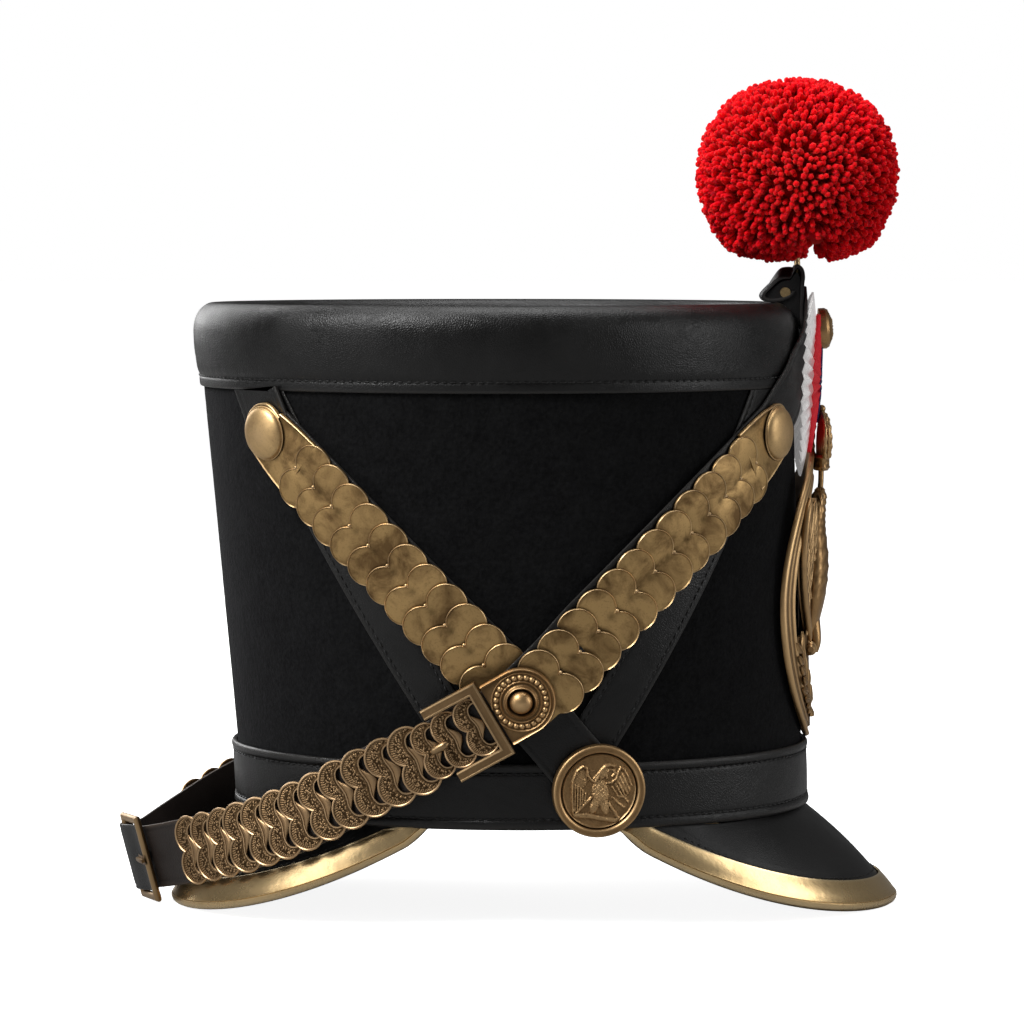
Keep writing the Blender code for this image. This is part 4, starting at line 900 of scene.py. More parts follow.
def peak_frames(sign, reach, half_width, end_x, end_height, drop_power):
    """Matching points down a peak, and the ways along its rim, down its slope and out of its face."""
    rim_end = math.degrees(math.acos(end_x / reach))
    _, half_length, _ = oval(36.2, -0.9)
    root_end = math.degrees(math.acos((end_x + 8) / half_length))
    share = np.linspace(-1, 1, PEAK_STEPS + 1)
    turn = np.radians(rim_end * share)
    x = reach * np.cos(turn)
    full = reach + BEAD
    drop = (full - x * full / reach) / (full - end_x)
    size = 1 - 0.8 * smooth_step((np.abs(share) - 0.965) / 0.035)
    tuck = 2.8 * smooth_step((np.abs(share) - 0.93) / 0.07)
    rim = stack(sign * x, half_width * np.sin(turn), end_height * drop**drop_power + BEAD * size + tuck)
    root_angle = root_end * share if sign > 0 else 180 - root_end * share
    root = wall_point(root_angle, 36.2 + 1.6 * smooth_step((np.abs(share) - 0.7) / 0.2), -0.9)
    order = np.clip(np.arange(PEAK_STEPS + 1), 1, PEAK_STEPS - 1)
    run = unit(rim[order + 1] - rim[order - 1])
    outward = unit(np.cross(rim[order] - root[order], run) * sign)
    down = unit(np.cross(run, outward)) * sign
    return share, root, rim, outward, down, size


def make_peak(name, sign, reach, half_width, end_x, end_height, drop_power, bulge):
    """A leather peak, its folded brass edging with a bead round the rim, and the row of stitches beside it."""
    share, root, rim, outward, down, size = peak_frames(sign, reach, half_width, end_x, end_height, drop_power)
    length = np.linalg.norm(rim - root, axis=1)
    rise = bulge * (1 - share**2)
    inside = slice(1, PEAK_STEPS)
    stops = np.concatenate([np.linspace(0.0, 0.97, 26), [0.985, 0.995]])
    leather_rows = []
    for face in (1, -1):
        for stop in stops if face > 0 else stops[::-1]:
            reach_here = np.minimum(stop, 1 - 0.5 / length)[:, None]
            groove = 0.26 * bump((1 - stop) * length - PEAK_SEAM, 1.1) if face > 0 else 0.0
            waves = 0.10 * np.sin(share * 9 + stop * 5) * np.sin(np.pi * stop)
            lift = (rise * np.sin(np.pi * stop) + face * PEAK_LEATHER / 2 + waves - groove)[:, None]
            leather_rows.append((root * (1 - reach_here) + rim * reach_here + outward * lift)[inside])
    points = np.array(leather_rows).transpose(1, 0, 2)
    finish(tube(f"{name}_peak_leather", points, PEAK_LEATHER_FINISH), "leather", f"{name}_peak")

    inner = PEAK_LEATHER / 2 + GAP
    outer = inner + BINDING_SHEET
    top = np.minimum(9.0 - 2.5 * np.abs(share) ** 3, length - 1.8)
    under = np.minimum(6.0, length - 1.8)
    top_rise = rise * np.sin(np.pi * top / length)
    under_rise = rise * np.sin(np.pi * under / length)
    zero = 0.0 * share
    sheet = [
        (-top + 0.05, inner + top_rise + 0.1, 0.4), (-top - 0.02, outer + top_rise - 0.35, 1.0),
        (-top + 0.35, outer + top_rise + 0.05, 1.0), (-top + 0.9, outer + top_rise + 0.02, 0.4),
    ]
    for amount in (0.85, 0.65, 0.45, 0.25):
        sheet.append((-top * amount, outer + top_rise * amount + 0.22 * math.sin(math.pi * amount), 0.15))
    sheet += [(-0.2, outer + 0.03, 0.0), (0.35, outer, 0.0), (0.58, outer - 0.26, 0.0), (0.82, outer - 0.02, 0.3)]
    for turn in (60, 40, 20, 0, -25, -50, -75, -95):
        angle = math.radians(turn)
        sheet.append((BEAD * math.cos(angle), BEAD * math.sin(angle), 0.6 if -30 < turn < 50 else 0.1))
    for amount in (0.35, 0.7):
        sheet.append((-under * amount, under_rise * amount - outer, 0.0))
    sheet += [
        (-under, under_rise - outer, 0.5), (-under - 0.1, under_rise - outer + 0.4, 0.6),
        (-under + 0.05, under_rise - inner, 0.2), (0.0, -inner, 0.0), (0.0, inner, 0.0),
    ]
    rows = []
    wear = []
    for along, out, edge in sheet:
        along, out = np.minimum(along, BEAD) + zero, out + zero
        rows.append(rim + (down * along[:, None] + outward * out[:, None]) * size[:, None])
        wear.append(np.full(len(share), edge))
    points = np.array(rows).transpose(1, 0, 2)
    piece = tube(f"{name}_peak_edging", points, BRIGHT_BRASS, sharp=35.0, wear=np.array(wear).T)
    finish(piece, "bright_brass", f"{name}_peak_binding")

    back = PEAK_SEAM - 2.5 * np.abs(share) ** 3
    keep = (length > 14.5) & (np.abs(share) < 0.97)
    lift = PEAK_LEATHER / 2 + rise * np.sin(np.pi * back / length) + 0.02
    line = rim - (rim - root) / length[:, None] * back[:, None] + outward * lift[:, None]
    stitch_along(line[keep], outward[keep], 2.9)


# ---- scales and side straps
def ray_reach(turn, centres, radius):
    """How far rays from the origin run before they leave the union of discs that hold it."""
    reach = np.zeros_like(turn)
    for cx, cy in centres:
        dot = cx * np.cos(turn) + cy * np.sin(turn)
        root = dot * dot - (cx * cx + cy * cy) + radius * radius
        reach = np.maximum(reach, np.where(root >= 0, dot + np.sqrt(np.maximum(root, 0)), 0.0))
    return reach


def lobed_sheet(centres, radius, tail, tail_half, relief, edges, shares):
    """A two-lobed scale: its lobes face +X, its tail runs to -X, and relief(x, y, depth) gives its face's height.

    Its rings lie at edges, in millimetres in from its outline, and then at shares of what is left."""
    steps = 88
    turn = np.linspace(0, 2 * np.pi, steps, endpoint=False)
    cos, sin = np.cos(turn), np.sin(turn)

    def outline(inset):
        back = np.where(cos < -1e-6, (tail - inset) / np.maximum(-cos, 1e-6), 0.0)
        sides = (tail_half - inset) / np.maximum(np.abs(sin), 1e-6)
        return np.maximum(ray_reach(turn, centres, radius - inset), np.where(cos < 0, np.minimum(back, sides), 0.0))

    rows = [(outline(inset), inset) for inset in edges]
    inner, inset = rows[-1]
    rows += [(inner * share, inset + (1 - share) * 6.0) for share in shares]
    points = [stack(outline(0.05) * cos, outline(0.05) * sin, 0.0)]
    for reach, depth in rows:
        points.append(stack(reach * cos, reach * sin, relief(reach * cos, reach * sin, depth)))
    middle = (0.0, 0.0, float(relief(np.zeros(1), np.zeros(1), 9.0)[0]))
    depths = np.repeat([0.0] + [depth for _, depth in rows], steps)
    return *tipped(points, middle), np.append(depths, 9.0)


def tipped(rings, tip):
    """The points and faces of rings that close in on one tip, with a flat face under the first."""
    steps = len(rings[0])
    last = (len(rings) - 1) * steps
    top = [[last + index, last + (index + 1) % steps, last + steps] for index in range(steps)]
    return np.vstack([*rings, [tip]]), grid(len(rings), steps) + top + [list(range(steps))]


def plain_scale_master():
    """A thin smooth scale with a fine raised rim round its two lobes, and a pip in the notch between them."""
    centres = ((0.0, 6.0), (0.0, -6.0))
    radius = 7.35

    def relief(x, y, depth):
        gap = np.minimum(np.hypot(x, y - 6.0), np.hypot(x, y + 6.0))
        dome = 0.34 * (1 - np.minimum(gap / radius, 1.2) ** 2)
        rim = 0.42 * bump(depth - 0.24, 0.34) * smooth_step((x + 5.0) / 3.0)
        saddle = -0.25 * np.exp(-((y / 1.8) ** 2)) * smooth_step((x + 1.0) / 4.0)
        return 0.62 + dome + rim + saddle

    edges, shares = (0.0, 0.10, 0.24, 0.40, 0.58, 0.9), (0.90, 0.74, 0.56, 0.36, 0.16)
    flat, faces, depth = lobed_sheet(centres, radius, 11.5, 10.3, relief, edges, shares)
    wear = bump(depth - 0.22, 0.26) * (flat[:, 0] > -4.5) * (flat[:, 2] > 0.5)
    # recess darkens the face round the saddle by the notch between the lobes
    recess = 0.55 * bump(np.hypot(flat[:, 0] - 1.6, flat[:, 1]), 2.6) * (depth > 0.5)
    ball, ball_faces = small_dome(0.62, 0.55, 10, 4)
    ball = ball + (4.75, 0.0, 0.55)
    faces += [[index + len(flat) for index in face] for face in ball_faces]
    points = np.vstack([flat, ball])
    wear = np.concatenate([wear, np.full(len(ball), 0.8)])
    recess = np.concatenate([recess, np.zeros(len(ball))])
    return pattern("plain_scale", points, faces, AGED_BRASS, wear=wear, recess=recess)


def small_dome(radius, height, steps, rings):
    """A small domed bead, closed below."""
    turn = full_turn(steps)
    rows = []
    for ring in range(rings):
        angle = math.pi / 2 * ring / rings
        reach = radius * math.cos(angle)
        rows.append(stack(reach * np.cos(turn), reach * np.sin(turn), height * math.sin(angle)))
    return tipped(rows, (0, 0, height))


def rear_lift(distance, crossing):
    return STRAP_PROUD + 0.9 * smooth_step((distance - crossing - 8) / 14)


def front_lift(distance, crossing, stud, end):
    past = np.maximum(0.0, np.abs(distance - crossing) - 15.0)
    over_chain = CROSSING_LIFT * (1 - smooth_step(past / 22.0))
    over_band = 1.9 * smooth_step((distance - end + 34) / 16)
    return STRAP_PROUD + over_chain + smooth_step((distance - stud - 9) / 16) + over_band


def turned(name, profile, place, axis, material, steps, **attributes):
    """A turned shape about an axis; the profile lists (radius, height) from its middle outwards and under."""
    axis = unit(axis)
    first = unit(np.cross(axis, (0.13, 0.2, 1.0) if abs(axis[2]) < 0.9 else (1.0, 0.1, 0.0)))
    turn = full_turn(steps)[:, None]
    radial = np.cos(turn) * first + np.sin(turn) * np.cross(axis, first)
    reach, rise = np.array(profile, float).T[:, :, None, None]
    spread = {key: np.repeat(values, steps) for key, values in attributes.items()}
    return build(name, place + reach * radial + rise * axis, capped(len(profile), steps), material, 40.0, **spread)


def make_stud(name, route, distance, lift, node):
    """A domed stud with a small rolled edge, worn on its crown and its rim."""
    radius, height, edge, rings = 9.9, 3.9, 0.5, 12
    profile = [(0.15, height)]
    for ring in range(1, rings):
        angle = math.pi / 2 * ring / rings
        profile.append(((radius - edge) * math.sin(angle), edge + (height - edge) * math.cos(angle) ** 0.9))
    profile += [(radius - edge, edge), (radius - edge * 0.4, edge * 1.05), (radius, edge * 0.55)]
    profile += [(radius - 0.1, 0.0), (0.3, 0.0)]
    wear = np.zeros(len(profile))
    wear[:5] = (0.5, 0.45, 0.35, 0.2, 0.1)
    wear[-5:-2] = (0.1, 0.3, 0.2)
    point, _, _, outward = route.frames(distance)
    finish(turned(name, profile, point + outward * lift, outward, STUD_BRASS, 96, wear=wear), "aged_brass", node)


def end_plate(name, route, stud, direction, lift, node):
    """The plate under a stud: round at its end, widening into the first scale, with a fine raised rim."""
    stops = [  # distance past the stud, half width
        (-10.8, 0.4), (-10.5, 2.6), (-9.6, 5.2), (-8.0, 7.3), (-5.2, 9.1), (0.0, 10.7), (6.0, 11.6), (12.0, 12.1),
        (19.4, 12.3),
    ]
    run, wide = spline(stops, 6).T
    half = []
    for inset, level in ((0.0, 0.0), (0.0, 1.0), (0.12, 1.28), (0.34, 1.42), (0.6, 1.30), (0.9, 1.12), (1.2, 1.08)):
        at = run + inset * smooth_step((2.0 - run) / 10.0)
        half.append(stack(at, np.maximum(wide - inset, 0.05), level))
    inner = half[-1]
    half += [inner * (1, share, 1) + (0, 0, 0.25 * (1 - share)) for share in (0.75, 0.5, 0.25)]
    right = np.array(half)
    left = right[::-1] * (1, -1, 1)
    rows = np.concatenate([right, right[-1:] * (1, 0, 1) + (0, 0, 0.08), left]).transpose(1, 0, 2)
    points = route.place(stud + direction * rows[..., 0], rows[..., 1], rows[..., 2] + lift)
    # recess darkens the low groove inside the raised rim: partly patina, partly painted shade
    wear, recess = (
        np.tile(np.concatenate([values, [0.0], values[::-1]]), len(rows))
        for values in ((0, 0.2, 0.6, 0.7, 0.2, 0, 0, 0, 0, 0), (0, 0, 0, 0, 0, 0.6, 0.4, 0, 0, 0))
    )
    finish(tube(name, points, AGED_BRASS, wear=wear, recess=recess), "aged_brass", node)


def leaning(along, outward, degrees):
    """The ways along and out of a piece whose far end is tipped up."""
    lean = math.tan(math.radians(degrees))
    return unit(along + outward * lean), unit(outward - along * lean)


def plain_chain(name, route, first_rim, last, direction, lift, node, seed, across):
    """Overlapping scales: their lobes face the stud and lie on the tail of the next."""
    count = int(abs(last - first_rim) / SCALE_PITCH) + 1
    spots = first_rim + direction * SCALE_PITCH * np.arange(count) + direction * 7.0
    point, along, sideways, outward = route.frames(spots)
    along = along * -direction
    place = point + sideways * across + outward * (lift(spots) + 0.15)[:, None]
    ways = leaning(along, outward, 6.0)
    finish(set_copies(name, PLAIN_SCALE, place, *ways, AGED_BRASS, 0.028, 0.012, seed), "aged_brass", node)


def make_side(side_name, side, seed):
    """One side's two slanting straps, each with its end plate, scales and stud."""
    rear = rear_route(side)
    crossing = rear.nearest(*CROSSING)
    stud = rear.nearest(*REAR_STUD)
    steps = np.linspace(3.0, rear.length + 4.0, 90)
    width = 11.6 - 0.6 * smooth_step((steps - crossing) / 20)
    piece = strip(
        f"rear_backing_{side_name}", rear, steps, width, STRAP_LEATHER, rear_lift(steps, crossing), BLACK_LEATHER,
        first=(2, TOP_BAND_EDGE - GAP), centre=side * 0.6,
    )
    finish(piece, "leather", f"rear_strap_{side_name}")
    scale_proud = STRAP_PROUD + STRAP_LEATHER + 1.5 * GAP
    plate_lift = scale_proud + 0.5 * GAP
    end_plate(f"rear_plate_{side_name}", rear, stud, 1, plate_lift - 0.1, f"rear_end_plate_{side_name}")
    plain_chain(
        f"rear_scales_{side_name}", rear, stud + PLATE_LENGTH - 4.5, crossing - 6, 1,
        lambda distance: scale_proud + 0 * distance, f"rear_scale_chain_{side_name}", seed, -side * 0.5,
    )
    make_stud(f"rear_dome_{side_name}", rear, stud, plate_lift + 1.3, f"rear_stud_{side_name}")

    front = front_route(side)
    crossing = front.nearest(*CROSSING)
    stud = front.nearest(*FRONT_STUD)

    def lift(distance):
        return front_lift(distance, crossing, stud, front.length)

    steps = np.linspace(7.0, front.length, 130)
    piece = strip(
        f"front_backing_{side_name}", front, steps, 11.6, STRAP_LEATHER, lift(steps), BLACK_LEATHER, last=(1, side * GAP),
        centre=side * 0.6,
    )
    finish(piece, "leather", f"front_strap_{side_name}")
    plate_lift = lift(stud) + STRAP_LEATHER + 2.5 * GAP
    end_plate(f"front_plate_{side_name}", front, stud, -1, plate_lift - 0.1, f"front_end_plate_{side_name}")
    plain_chain(
        f"front_scales_{side_name}", front, stud - PLATE_LENGTH + 5.5, crossing + 12.5, -1,
        lambda distance: lift(distance) + STRAP_LEATHER + 1.5 * GAP, f"front_scale_chain_{side_name}", seed + 10,
        -side * 1.7,
    )
    make_stud(f"front_dome_{side_name}", front, stud, plate_lift + 1.3, f"front_stud_{side_name}")


PLAIN_SCALE = plain_scale_master()


# ---- relief on discs
class Facing:
    """A place on the hat and its ways right, up and out, as someone who looks at it sees them."""

    def __init__(self, point, outward, right, side=-1, scale=1.0):
        self.point = np.asarray(point, float)
        self.scale = scale
        self.outward = unit(outward)
        right = np.asarray(right, float)
        self.right = unit(right - self.outward * (right @ self.outward))
        self.up = np.cross(self.outward, self.right) * -side

    def place(self, x, y, out):
        x, y, out = np.broadcast_arrays(np.asarray(x, float) * self.scale, y * self.scale, out)
        return self.point + self.right * x[..., None] + self.up * y[..., None] + self.outward * out[..., None]


def wall_facing(spot, proud, side, right, scale=1.0):
    """The facing on the crown at (x, height)."""
    angle = wall_angle(*spot, proud)
    return Facing(wall_point(angle, spot[1], proud, side), wall_normal(angle, spot[1], side), right, side, scale)


def stroke(x, y, line, width, height):
    """How high a raised line stands at x, y: round across, and full up to its ends."""
    line = np.asarray(line, float)
    nearest = np.full(np.shape(x), 1e9)
    for start, end in zip(line[:-1], line[1:]):
        run = end - start
        share = np.clip(((x - start[0]) * run[0] + (y - start[1]) * run[1]) / (run @ run), 0, 1)
        nearest = np.minimum(nearest, np.hypot(x - start[0] - share * run[0], y - start[1] - share * run[1]))
    return height * half_round(nearest / width)


def mound(x, y, middle, reach, height, turn):
    cos, sin = math.cos(math.radians(turn)), math.sin(math.radians(turn))
    run = ((x - middle[0]) * cos + (y - middle[1]) * sin) / reach[0]
    rise = ((y - middle[1]) * cos - (x - middle[0]) * sin) / reach[1]
    return height * np.sqrt(np.maximum(1 - run**2 - rise**2, 0.0))


def relief_disc(name, facing, reaches, height, material, **attributes):
    """A disc in relief: rings of points at each reach, a flat back and a rim wall; attributes are functions of x, y."""
    steps = len(reaches[0])
    turn = full_turn(steps)
    x, y = np.array(reaches) * np.cos(turn), np.array(reaches) * np.sin(turn)
    rows = np.concatenate([facing.place(x, y, height(x, y)), facing.place(x[-1:], y[-1:], 0.0)])
    middle = facing.place(0.0, 0.0, height(np.zeros(1), np.zeros(1)))
    faces = grid(len(rows), steps)
    faces += [[(index + 1) % steps, index, len(rows) * steps] for index in range(steps)]
    faces.append([len(reaches) * steps + index for index in range(steps)])
    flat_x, flat_y = (np.concatenate([values.reshape(-1), values[-1], [0.0]]) for values in (x, y))
    spread = {key: np.clip(value(flat_x, flat_y), 0, 1) for key, value in attributes.items()}
    return build(name, np.vstack([rows.reshape(-1, 3), middle]), faces, material, 50.0, **spread)


EAGLE_STROKES = (  # (half width, height, points x and y), right wing towards the front of the hat
    (0.42, 0.85, (
        (-9.3, -7.0), (-9.6, -1.2), (-9.4, 4.1), (-8.0, 7.4), (-5.8, 9.1), (-4.5, 8.4), (-4.1, 5.9), (-3.0, 4.2),
        (-2.0, 3.6),
    )),
    (0.36, 0.55, ((-8.6, 2.6), (-8.6, -6.6))),
    (0.36, 0.55, ((-7.6, 2.2), (-7.7, -6.2))),
    (0.36, 0.55, ((-6.7, 1.4), (-6.8, -5.6))),
    (0.36, 0.50, ((-5.8, 0.6), (-6.0, -4.9))),
    (0.36, 0.50, ((-4.9, -0.4), (-5.2, -4.0))),
    (0.42, 0.85, ((2.4, 2.9), (4.2, 3.0), (5.8, 4.1), (6.6, 6.4), (7.5, 8.2), (8.5, 7.6), (10.0, 5.0), (11.3, 1.6))),
    (0.38, 0.60, ((5.4, 2.6), (8.3, -2.4))),
    (0.38, 0.60, ((6.3, 3.6), (9.2, -2.2))),
    (0.38, 0.60, ((7.0, 5.0), (10.0, -1.4))),
    (0.38, 0.60, ((7.7, 6.2), (10.8, -0.4))),
    (0.36, 0.50, ((4.3, 1.6), (7.0, -2.6))),
    (0.40, 0.60, ((7.0, -1.9), (8.8, -2.5), (10.2, -4.4))),
    (0.45, 0.55, ((4.6, -2.2), (6.4, -4.2), (8.6, -6.0))),
    (0.55, 0.85, ((-1.6, 3.6), (-0.6, 5.0), (0.4, 7.0), (2.0, 8.7), (4.0, 9.2), (5.4, 8.6))),
    (0.40, 0.70, ((2.6, 4.6), (2.4, 6.4), (3.4, 7.6), (4.8, 7.4), (5.5, 6.2), (4.6, 5.2))),
    (0.34, 0.60, ((-2.2, 4.4), (-0.2, 6.6))),
    (0.50, 0.70, ((-3.0, -1.9), (-8.5, -7.7))),
    (0.50, 0.70, ((3.2, -4.2), (6.9, -10.2))),
    (0.95, 0.75, ((-8.6, -8.0), (-3.0, -8.6), (2.0, -9.8), (6.6, -10.8))),
    (0.50, 0.95, ((-8.4, -7.9), (-4.4, -7.8), (0.6, -9.0), (3.4, -10.1))),
)


def eagle_relief(x, y):
    """A crowned-plate eagle with raised wings, standing on its bar."""
    height = np.zeros(np.shape(x))
    for half_width, tall, line in EAGLE_STROKES:
        height = np.maximum(height, stroke(x, y, line, half_width, tall))
    scallop = 0.12 * np.sin(x * 4.3 + 1.2 * np.sin(y * 2.7)) * np.sin(y * 4.9)
    for middle, reach, tall, turn in (
        ((0.3, -0.4), (2.9, 4.8), 0.95, 8), ((-1.8, -4.9), (1.6, 3.0), 0.85, -12), ((1.9, -5.2), (1.5, 3.2), 0.85, 6),
        ((-6.8, 4.6), (2.6, 3.6), 0.35, -10), ((8.2, 3.2), (2.4, 4.4), 0.30, 30), ((1.4, 6.4), (1.5, 2.4), 0.7, -30),
    ):
        hill = mound(x, y, middle, reach, tall, turn)
        height = np.maximum(height, hill + scallop * (hill > 0.05))
    return height


def make_side_button(side_name, side):
    proud = STRAP_PROUD + 0.9 + STRAP_LEATHER + GAP + 0.2
    facing = wall_facing(BUTTON, proud, side, (1.0, 0.0, 0.0), 1.033)
    steps = 240
    radii = np.concatenate([np.linspace(0.25, 12.2, 58), np.arange(12.4, 16.36, 0.18)])

    def height(x, y):
        reach = np.hypot(x, y)
        ground = 2.75 - 0.55 * (reach / 12.6) ** 2
        stipple = 0.15 * np.sin(x * 8.3 + 2 * np.sin(y * 3.7)) * np.sin(y * 7.9 + 1.7 * np.sin(x * 3.1))
        face = ground + (0.85 * eagle_relief(x, y) + stipple) * (reach < 12.3)
        face += 0.50 * bump(reach - 12.75, 0.42) - 0.45 * bump(reach - 13.25, 0.40)
        roll = 2.05 + 1.45 * half_round((reach - 14.9) / 1.52)
        return np.where(reach > 13.4, roll, face)

    def wear(x, y):
        reach = np.hypot(x, y)
        edges = bump(reach - 12.75, 0.5) + 0.9 * bump(reach - 13.85, 0.4) + 0.7 * bump(reach - 15.9, 0.4)
        return eagle_relief(x, y) * (reach < 12.3) * 0.62 + edges

    # recess: darker low ground round the eagle and in the groove inside the rim, partly patina and partly painted
    # shade, and a darker brown down the middle of the rolled rim
    def recess(x, y):
        reach = np.hypot(x, y)
        inside = (reach < 12.4) * np.clip(0.42 - eagle_relief(x, y), 0, 0.42) * 0.6
        return inside + 0.95 * bump(reach - 13.25, 0.5) + 0.35 * bump(reach - 14.9, 0.9)

    piece = relief_disc(
        f"eagle_button_{side_name}", facing, [np.full(steps, reach) for reach in radii], height, RELIEF_BRASS,
        wear=wear, recess=recess,
    )
    finish(piece, "aged_brass", f"side_button_{side_name}")


def make_rosette(side_name, side, chin):
    """The D-shaped plate behind the buckle: a rolled rim, a ring of beads, a collar and a domed stud."""
    proud = STRAP_PROUD + CROSSING_LIFT + STRAP_LEATHER + 1.6 + 1.65
    facing = wall_facing(CROSSING, proud, side, chin.frames(12.0)[1])
    steps, radius, flat = 224, 12.3, 10.0
    turn = full_turn(steps)

    def outline(inset):
        sides = (radius - inset) / np.maximum(np.abs(np.sin(turn)), 1e-6)
        straight = np.minimum(sides, (flat - inset * 0.3) / np.maximum(np.cos(turn), 1e-6))
        return np.where(np.cos(turn) > 1e-6, straight, radius - inset)

    inside = (0.3, 1.0, 1.8, 2.6, 3.3, 3.75, 4.0, 4.1, 4.5, 4.7, 4.85, 5.2, 5.6, 5.8, 6.0, 6.4)
    reaches = [np.full(steps, r) for r in inside]
    reaches += [np.minimum(r, outline(1.4)) for r in np.arange(6.8, 10.95, 0.26)]
    reaches += [outline(inset) for inset in (1.25, 1.1, 0.9, 0.7, 0.5, 0.3, 0.15, 0.05, 0.0)]

    def edge(x, y):
        return radius - np.where(x > 0, np.abs(y), np.hypot(x, y))

    def beads(x, y):
        reach, way = np.hypot(x, y), np.arctan2(y, x)
        count, ring = 26, 8.8
        cell = (way / (2 * np.pi) * count) % 1.0 - 0.5
        near = np.hypot(cell * 2 * np.pi * ring / count, reach - ring)
        return 0.85 * half_round(near / 0.98)

    def height(x, y):
        reach, inset = np.hypot(x, y), edge(x, y)
        dome = 1.4 + 3.4 * half_round(reach / 4.12)
        collar = 1.2 + 1.15 * bump(reach - 5.25, 0.75)
        field = 1.0 + beads(x, y) + 0.5 * bump(reach - 7.3, 0.4) + 0.45 * bump(reach - 10.4, 0.4) * (inset > 1.3)
        rim = 1.0 + 0.95 * bump(inset - 0.55, 0.6)
        face = np.where(reach < 4.1, dome, np.where(reach < 6.2, collar, field))
        face = np.where((reach > 4.05) & (reach < 4.55), 0.55, face)
        return np.where((inset < 1.3) & (reach > 6.2), rim, face) * smooth_step(inset / 0.12 + 0.35)

    def wear(x, y):
        reach, inset = np.hypot(x, y), edge(x, y)
        worn = 0.7 * (reach < 3.6) * (1 - reach / 4.4) + bump(reach - 5.25, 0.5) + beads(x, y) * 0.8
        return worn + bump(inset - 0.5, 0.5) + 0.8 * bump(reach - 7.3, 0.35) + 0.7 * bump(reach - 10.4, 0.35)

    # recess: the low field between the beads and the gap round the dome go dark, partly patina and partly painted shade
    def recess(x, y):
        reach = np.hypot(x, y)
        rings = bump(reach - 7.3, 0.5) + bump(reach - 10.4, 0.5)
        low = 0.72 * (reach > 6.0) * (edge(x, y) > 1.1) * (beads(x, y) < 0.2) * (1 - rings)
        return low + (reach > 4.0) * (reach < 4.7)

    piece = relief_disc(f"crossing_plate_{side_name}", facing, reaches, height, RELIEF_BRASS, wear=wear, recess=recess)
    finish(piece, "aged_brass", f"crossing_rosette_{side_name}")


# ---- chin strap
def chin_scale_master(name, length, width):
    """An openwork chin scale of two lobes: a rolled rim, a grained band, a raised line and a smooth spine."""
    spread, radius = 5.65, 6.9
    turn = np.radians(np.linspace(140, -54, 26))
    rim = stack(radius * np.cos(turn), spread + radius * np.sin(turn))
    away = stack(np.cos(turn), np.sin(turn))
    notch = np.array([[math.sqrt(radius**2 - spread**2), 0.0]])
    rim = np.vstack([rim, notch, (rim * (1, -1))[::-1]])
    away = np.vstack([away, [(1.5, 0.0)], (away * (1, -1))[::-1]])
    stops = ((-4.9, 9.5), (-3.4, 9.6), (-1.9, 9.2), (-0.7, 8.2), (0.0, 6.4), (0.05, 4.2), (-0.45, 2.0), (-0.7, 0.0))
    line = spline(stops, 4)
    line = np.vstack([line, (line * (1, -1))[-2::-1]])
    parts, count = [], 0

    def add(rows, **marks):
        nonlocal count
        around = rows.shape[:2]
        keys = ("wear", "recess", "granular", "strokes", "around")
        values = {key: np.broadcast_to(marks.get(key, 0.0), around).reshape(-1) for key in keys}
        parts.append((rows.reshape(-1, 3) * (length, width, 1.0), capped(*around, count), values))
        count += around[0] * around[1]

    def with_level(flat, level):
        return stack(flat[..., 0], flat[..., 1], level)

    def wire(path, ways, half, middle, tall, around):
        angle = full_turn(around)
        return with_level(path[:, None] + ways[:, None] * half * np.cos(angle)[:, None], middle + tall * np.sin(angle))

    add(wire(rim, away, 0.44, 0.62, 0.42, 7), wear=[0.6, 1, 1, 0.9, 0, 0, 0.2])
    run = unit(np.gradient(line, axis=0))
    add(wire(line, stack(-run[:, 1], run[:, 0]), 0.40, 0.78, 0.45, 6), wear=[0.3, 0.9, 0.9, 0.3, 0, 0])

    spots = np.linspace(0, 1, len(rim)), np.linspace(0, 1, len(line))
    inner = stack(*(np.interp(*spots, values) for values in line.T))
    shares = np.array([0.02, 0.07, 0.26, 0.34, 0.7, 0.84, 1.0])
    levels = np.array([0.50, 0.42, 0.52, 0.56, 0.56, 0.42, 0.42])
    band = rim[:, None] * (1 - shares[:, None]) + inner[:, None] * shares[:, None]
    band = with_level(band, levels)
    under = band[:, [-1, 0]] * (1, 1, 0) + (0, 0, 0.08)
    gone = np.concatenate([[0.0], np.cumsum(np.linalg.norm(np.diff(rim, axis=0), axis=1))])[:, None]
    # recess darkens the band beside the rim and beside the raised line: partly patina, partly painted shade
    add(
        np.concatenate([band, under], axis=1), recess=[0.6, 0.5, 0, 0, 0, 0.85, 0.7, 0, 0],
        granular=[0.3, 0.6, 1, 1, 1, 0.4, 0.2, 0, 0], strokes=[1, 1, 1, 0, 0, 0, 0, 0, 0], around=gone,
    )

    across = np.linspace(-6.0, 6.0, 17)
    order = np.argsort(line[:, 1])
    back = np.interp(across, line[order, 1], line[order, 0]) - 0.25
    deep = 3.2 * np.maximum(np.cos(np.pi / 2 * across / 6.1), 0.02) ** 1.35
    section = np.array([(0.0, 0.0), (0.05, 0.72), (0.25, 0.95), (0.5, 1.0), (0.75, 0.93), (0.95, 0.66), (1.0, 0.0)])
    x = back[:, None] - deep[:, None] * section[:, 0]
    z = 0.1 + section[:, 1] * (0.75 + 0.5 * np.sqrt(deep / 3.2))[:, None]
    add(stack(x, across[:, None], z), wear=[0, 0.2, 0.3, 0.5, 0.5, 0.4, 0])
    points, faces, marks = zip(*parts)
    values = {key: np.concatenate([mark[key] for mark in marks]) for key in marks[0]}
    return pattern(name, np.vstack(points), sum(faces, []), CHIN_BRASS, **values)


CHIN_CENTRES = np.concatenate([(21.6, 30.6, 39.0), 47.2 + 10.03 * np.arange(12)])


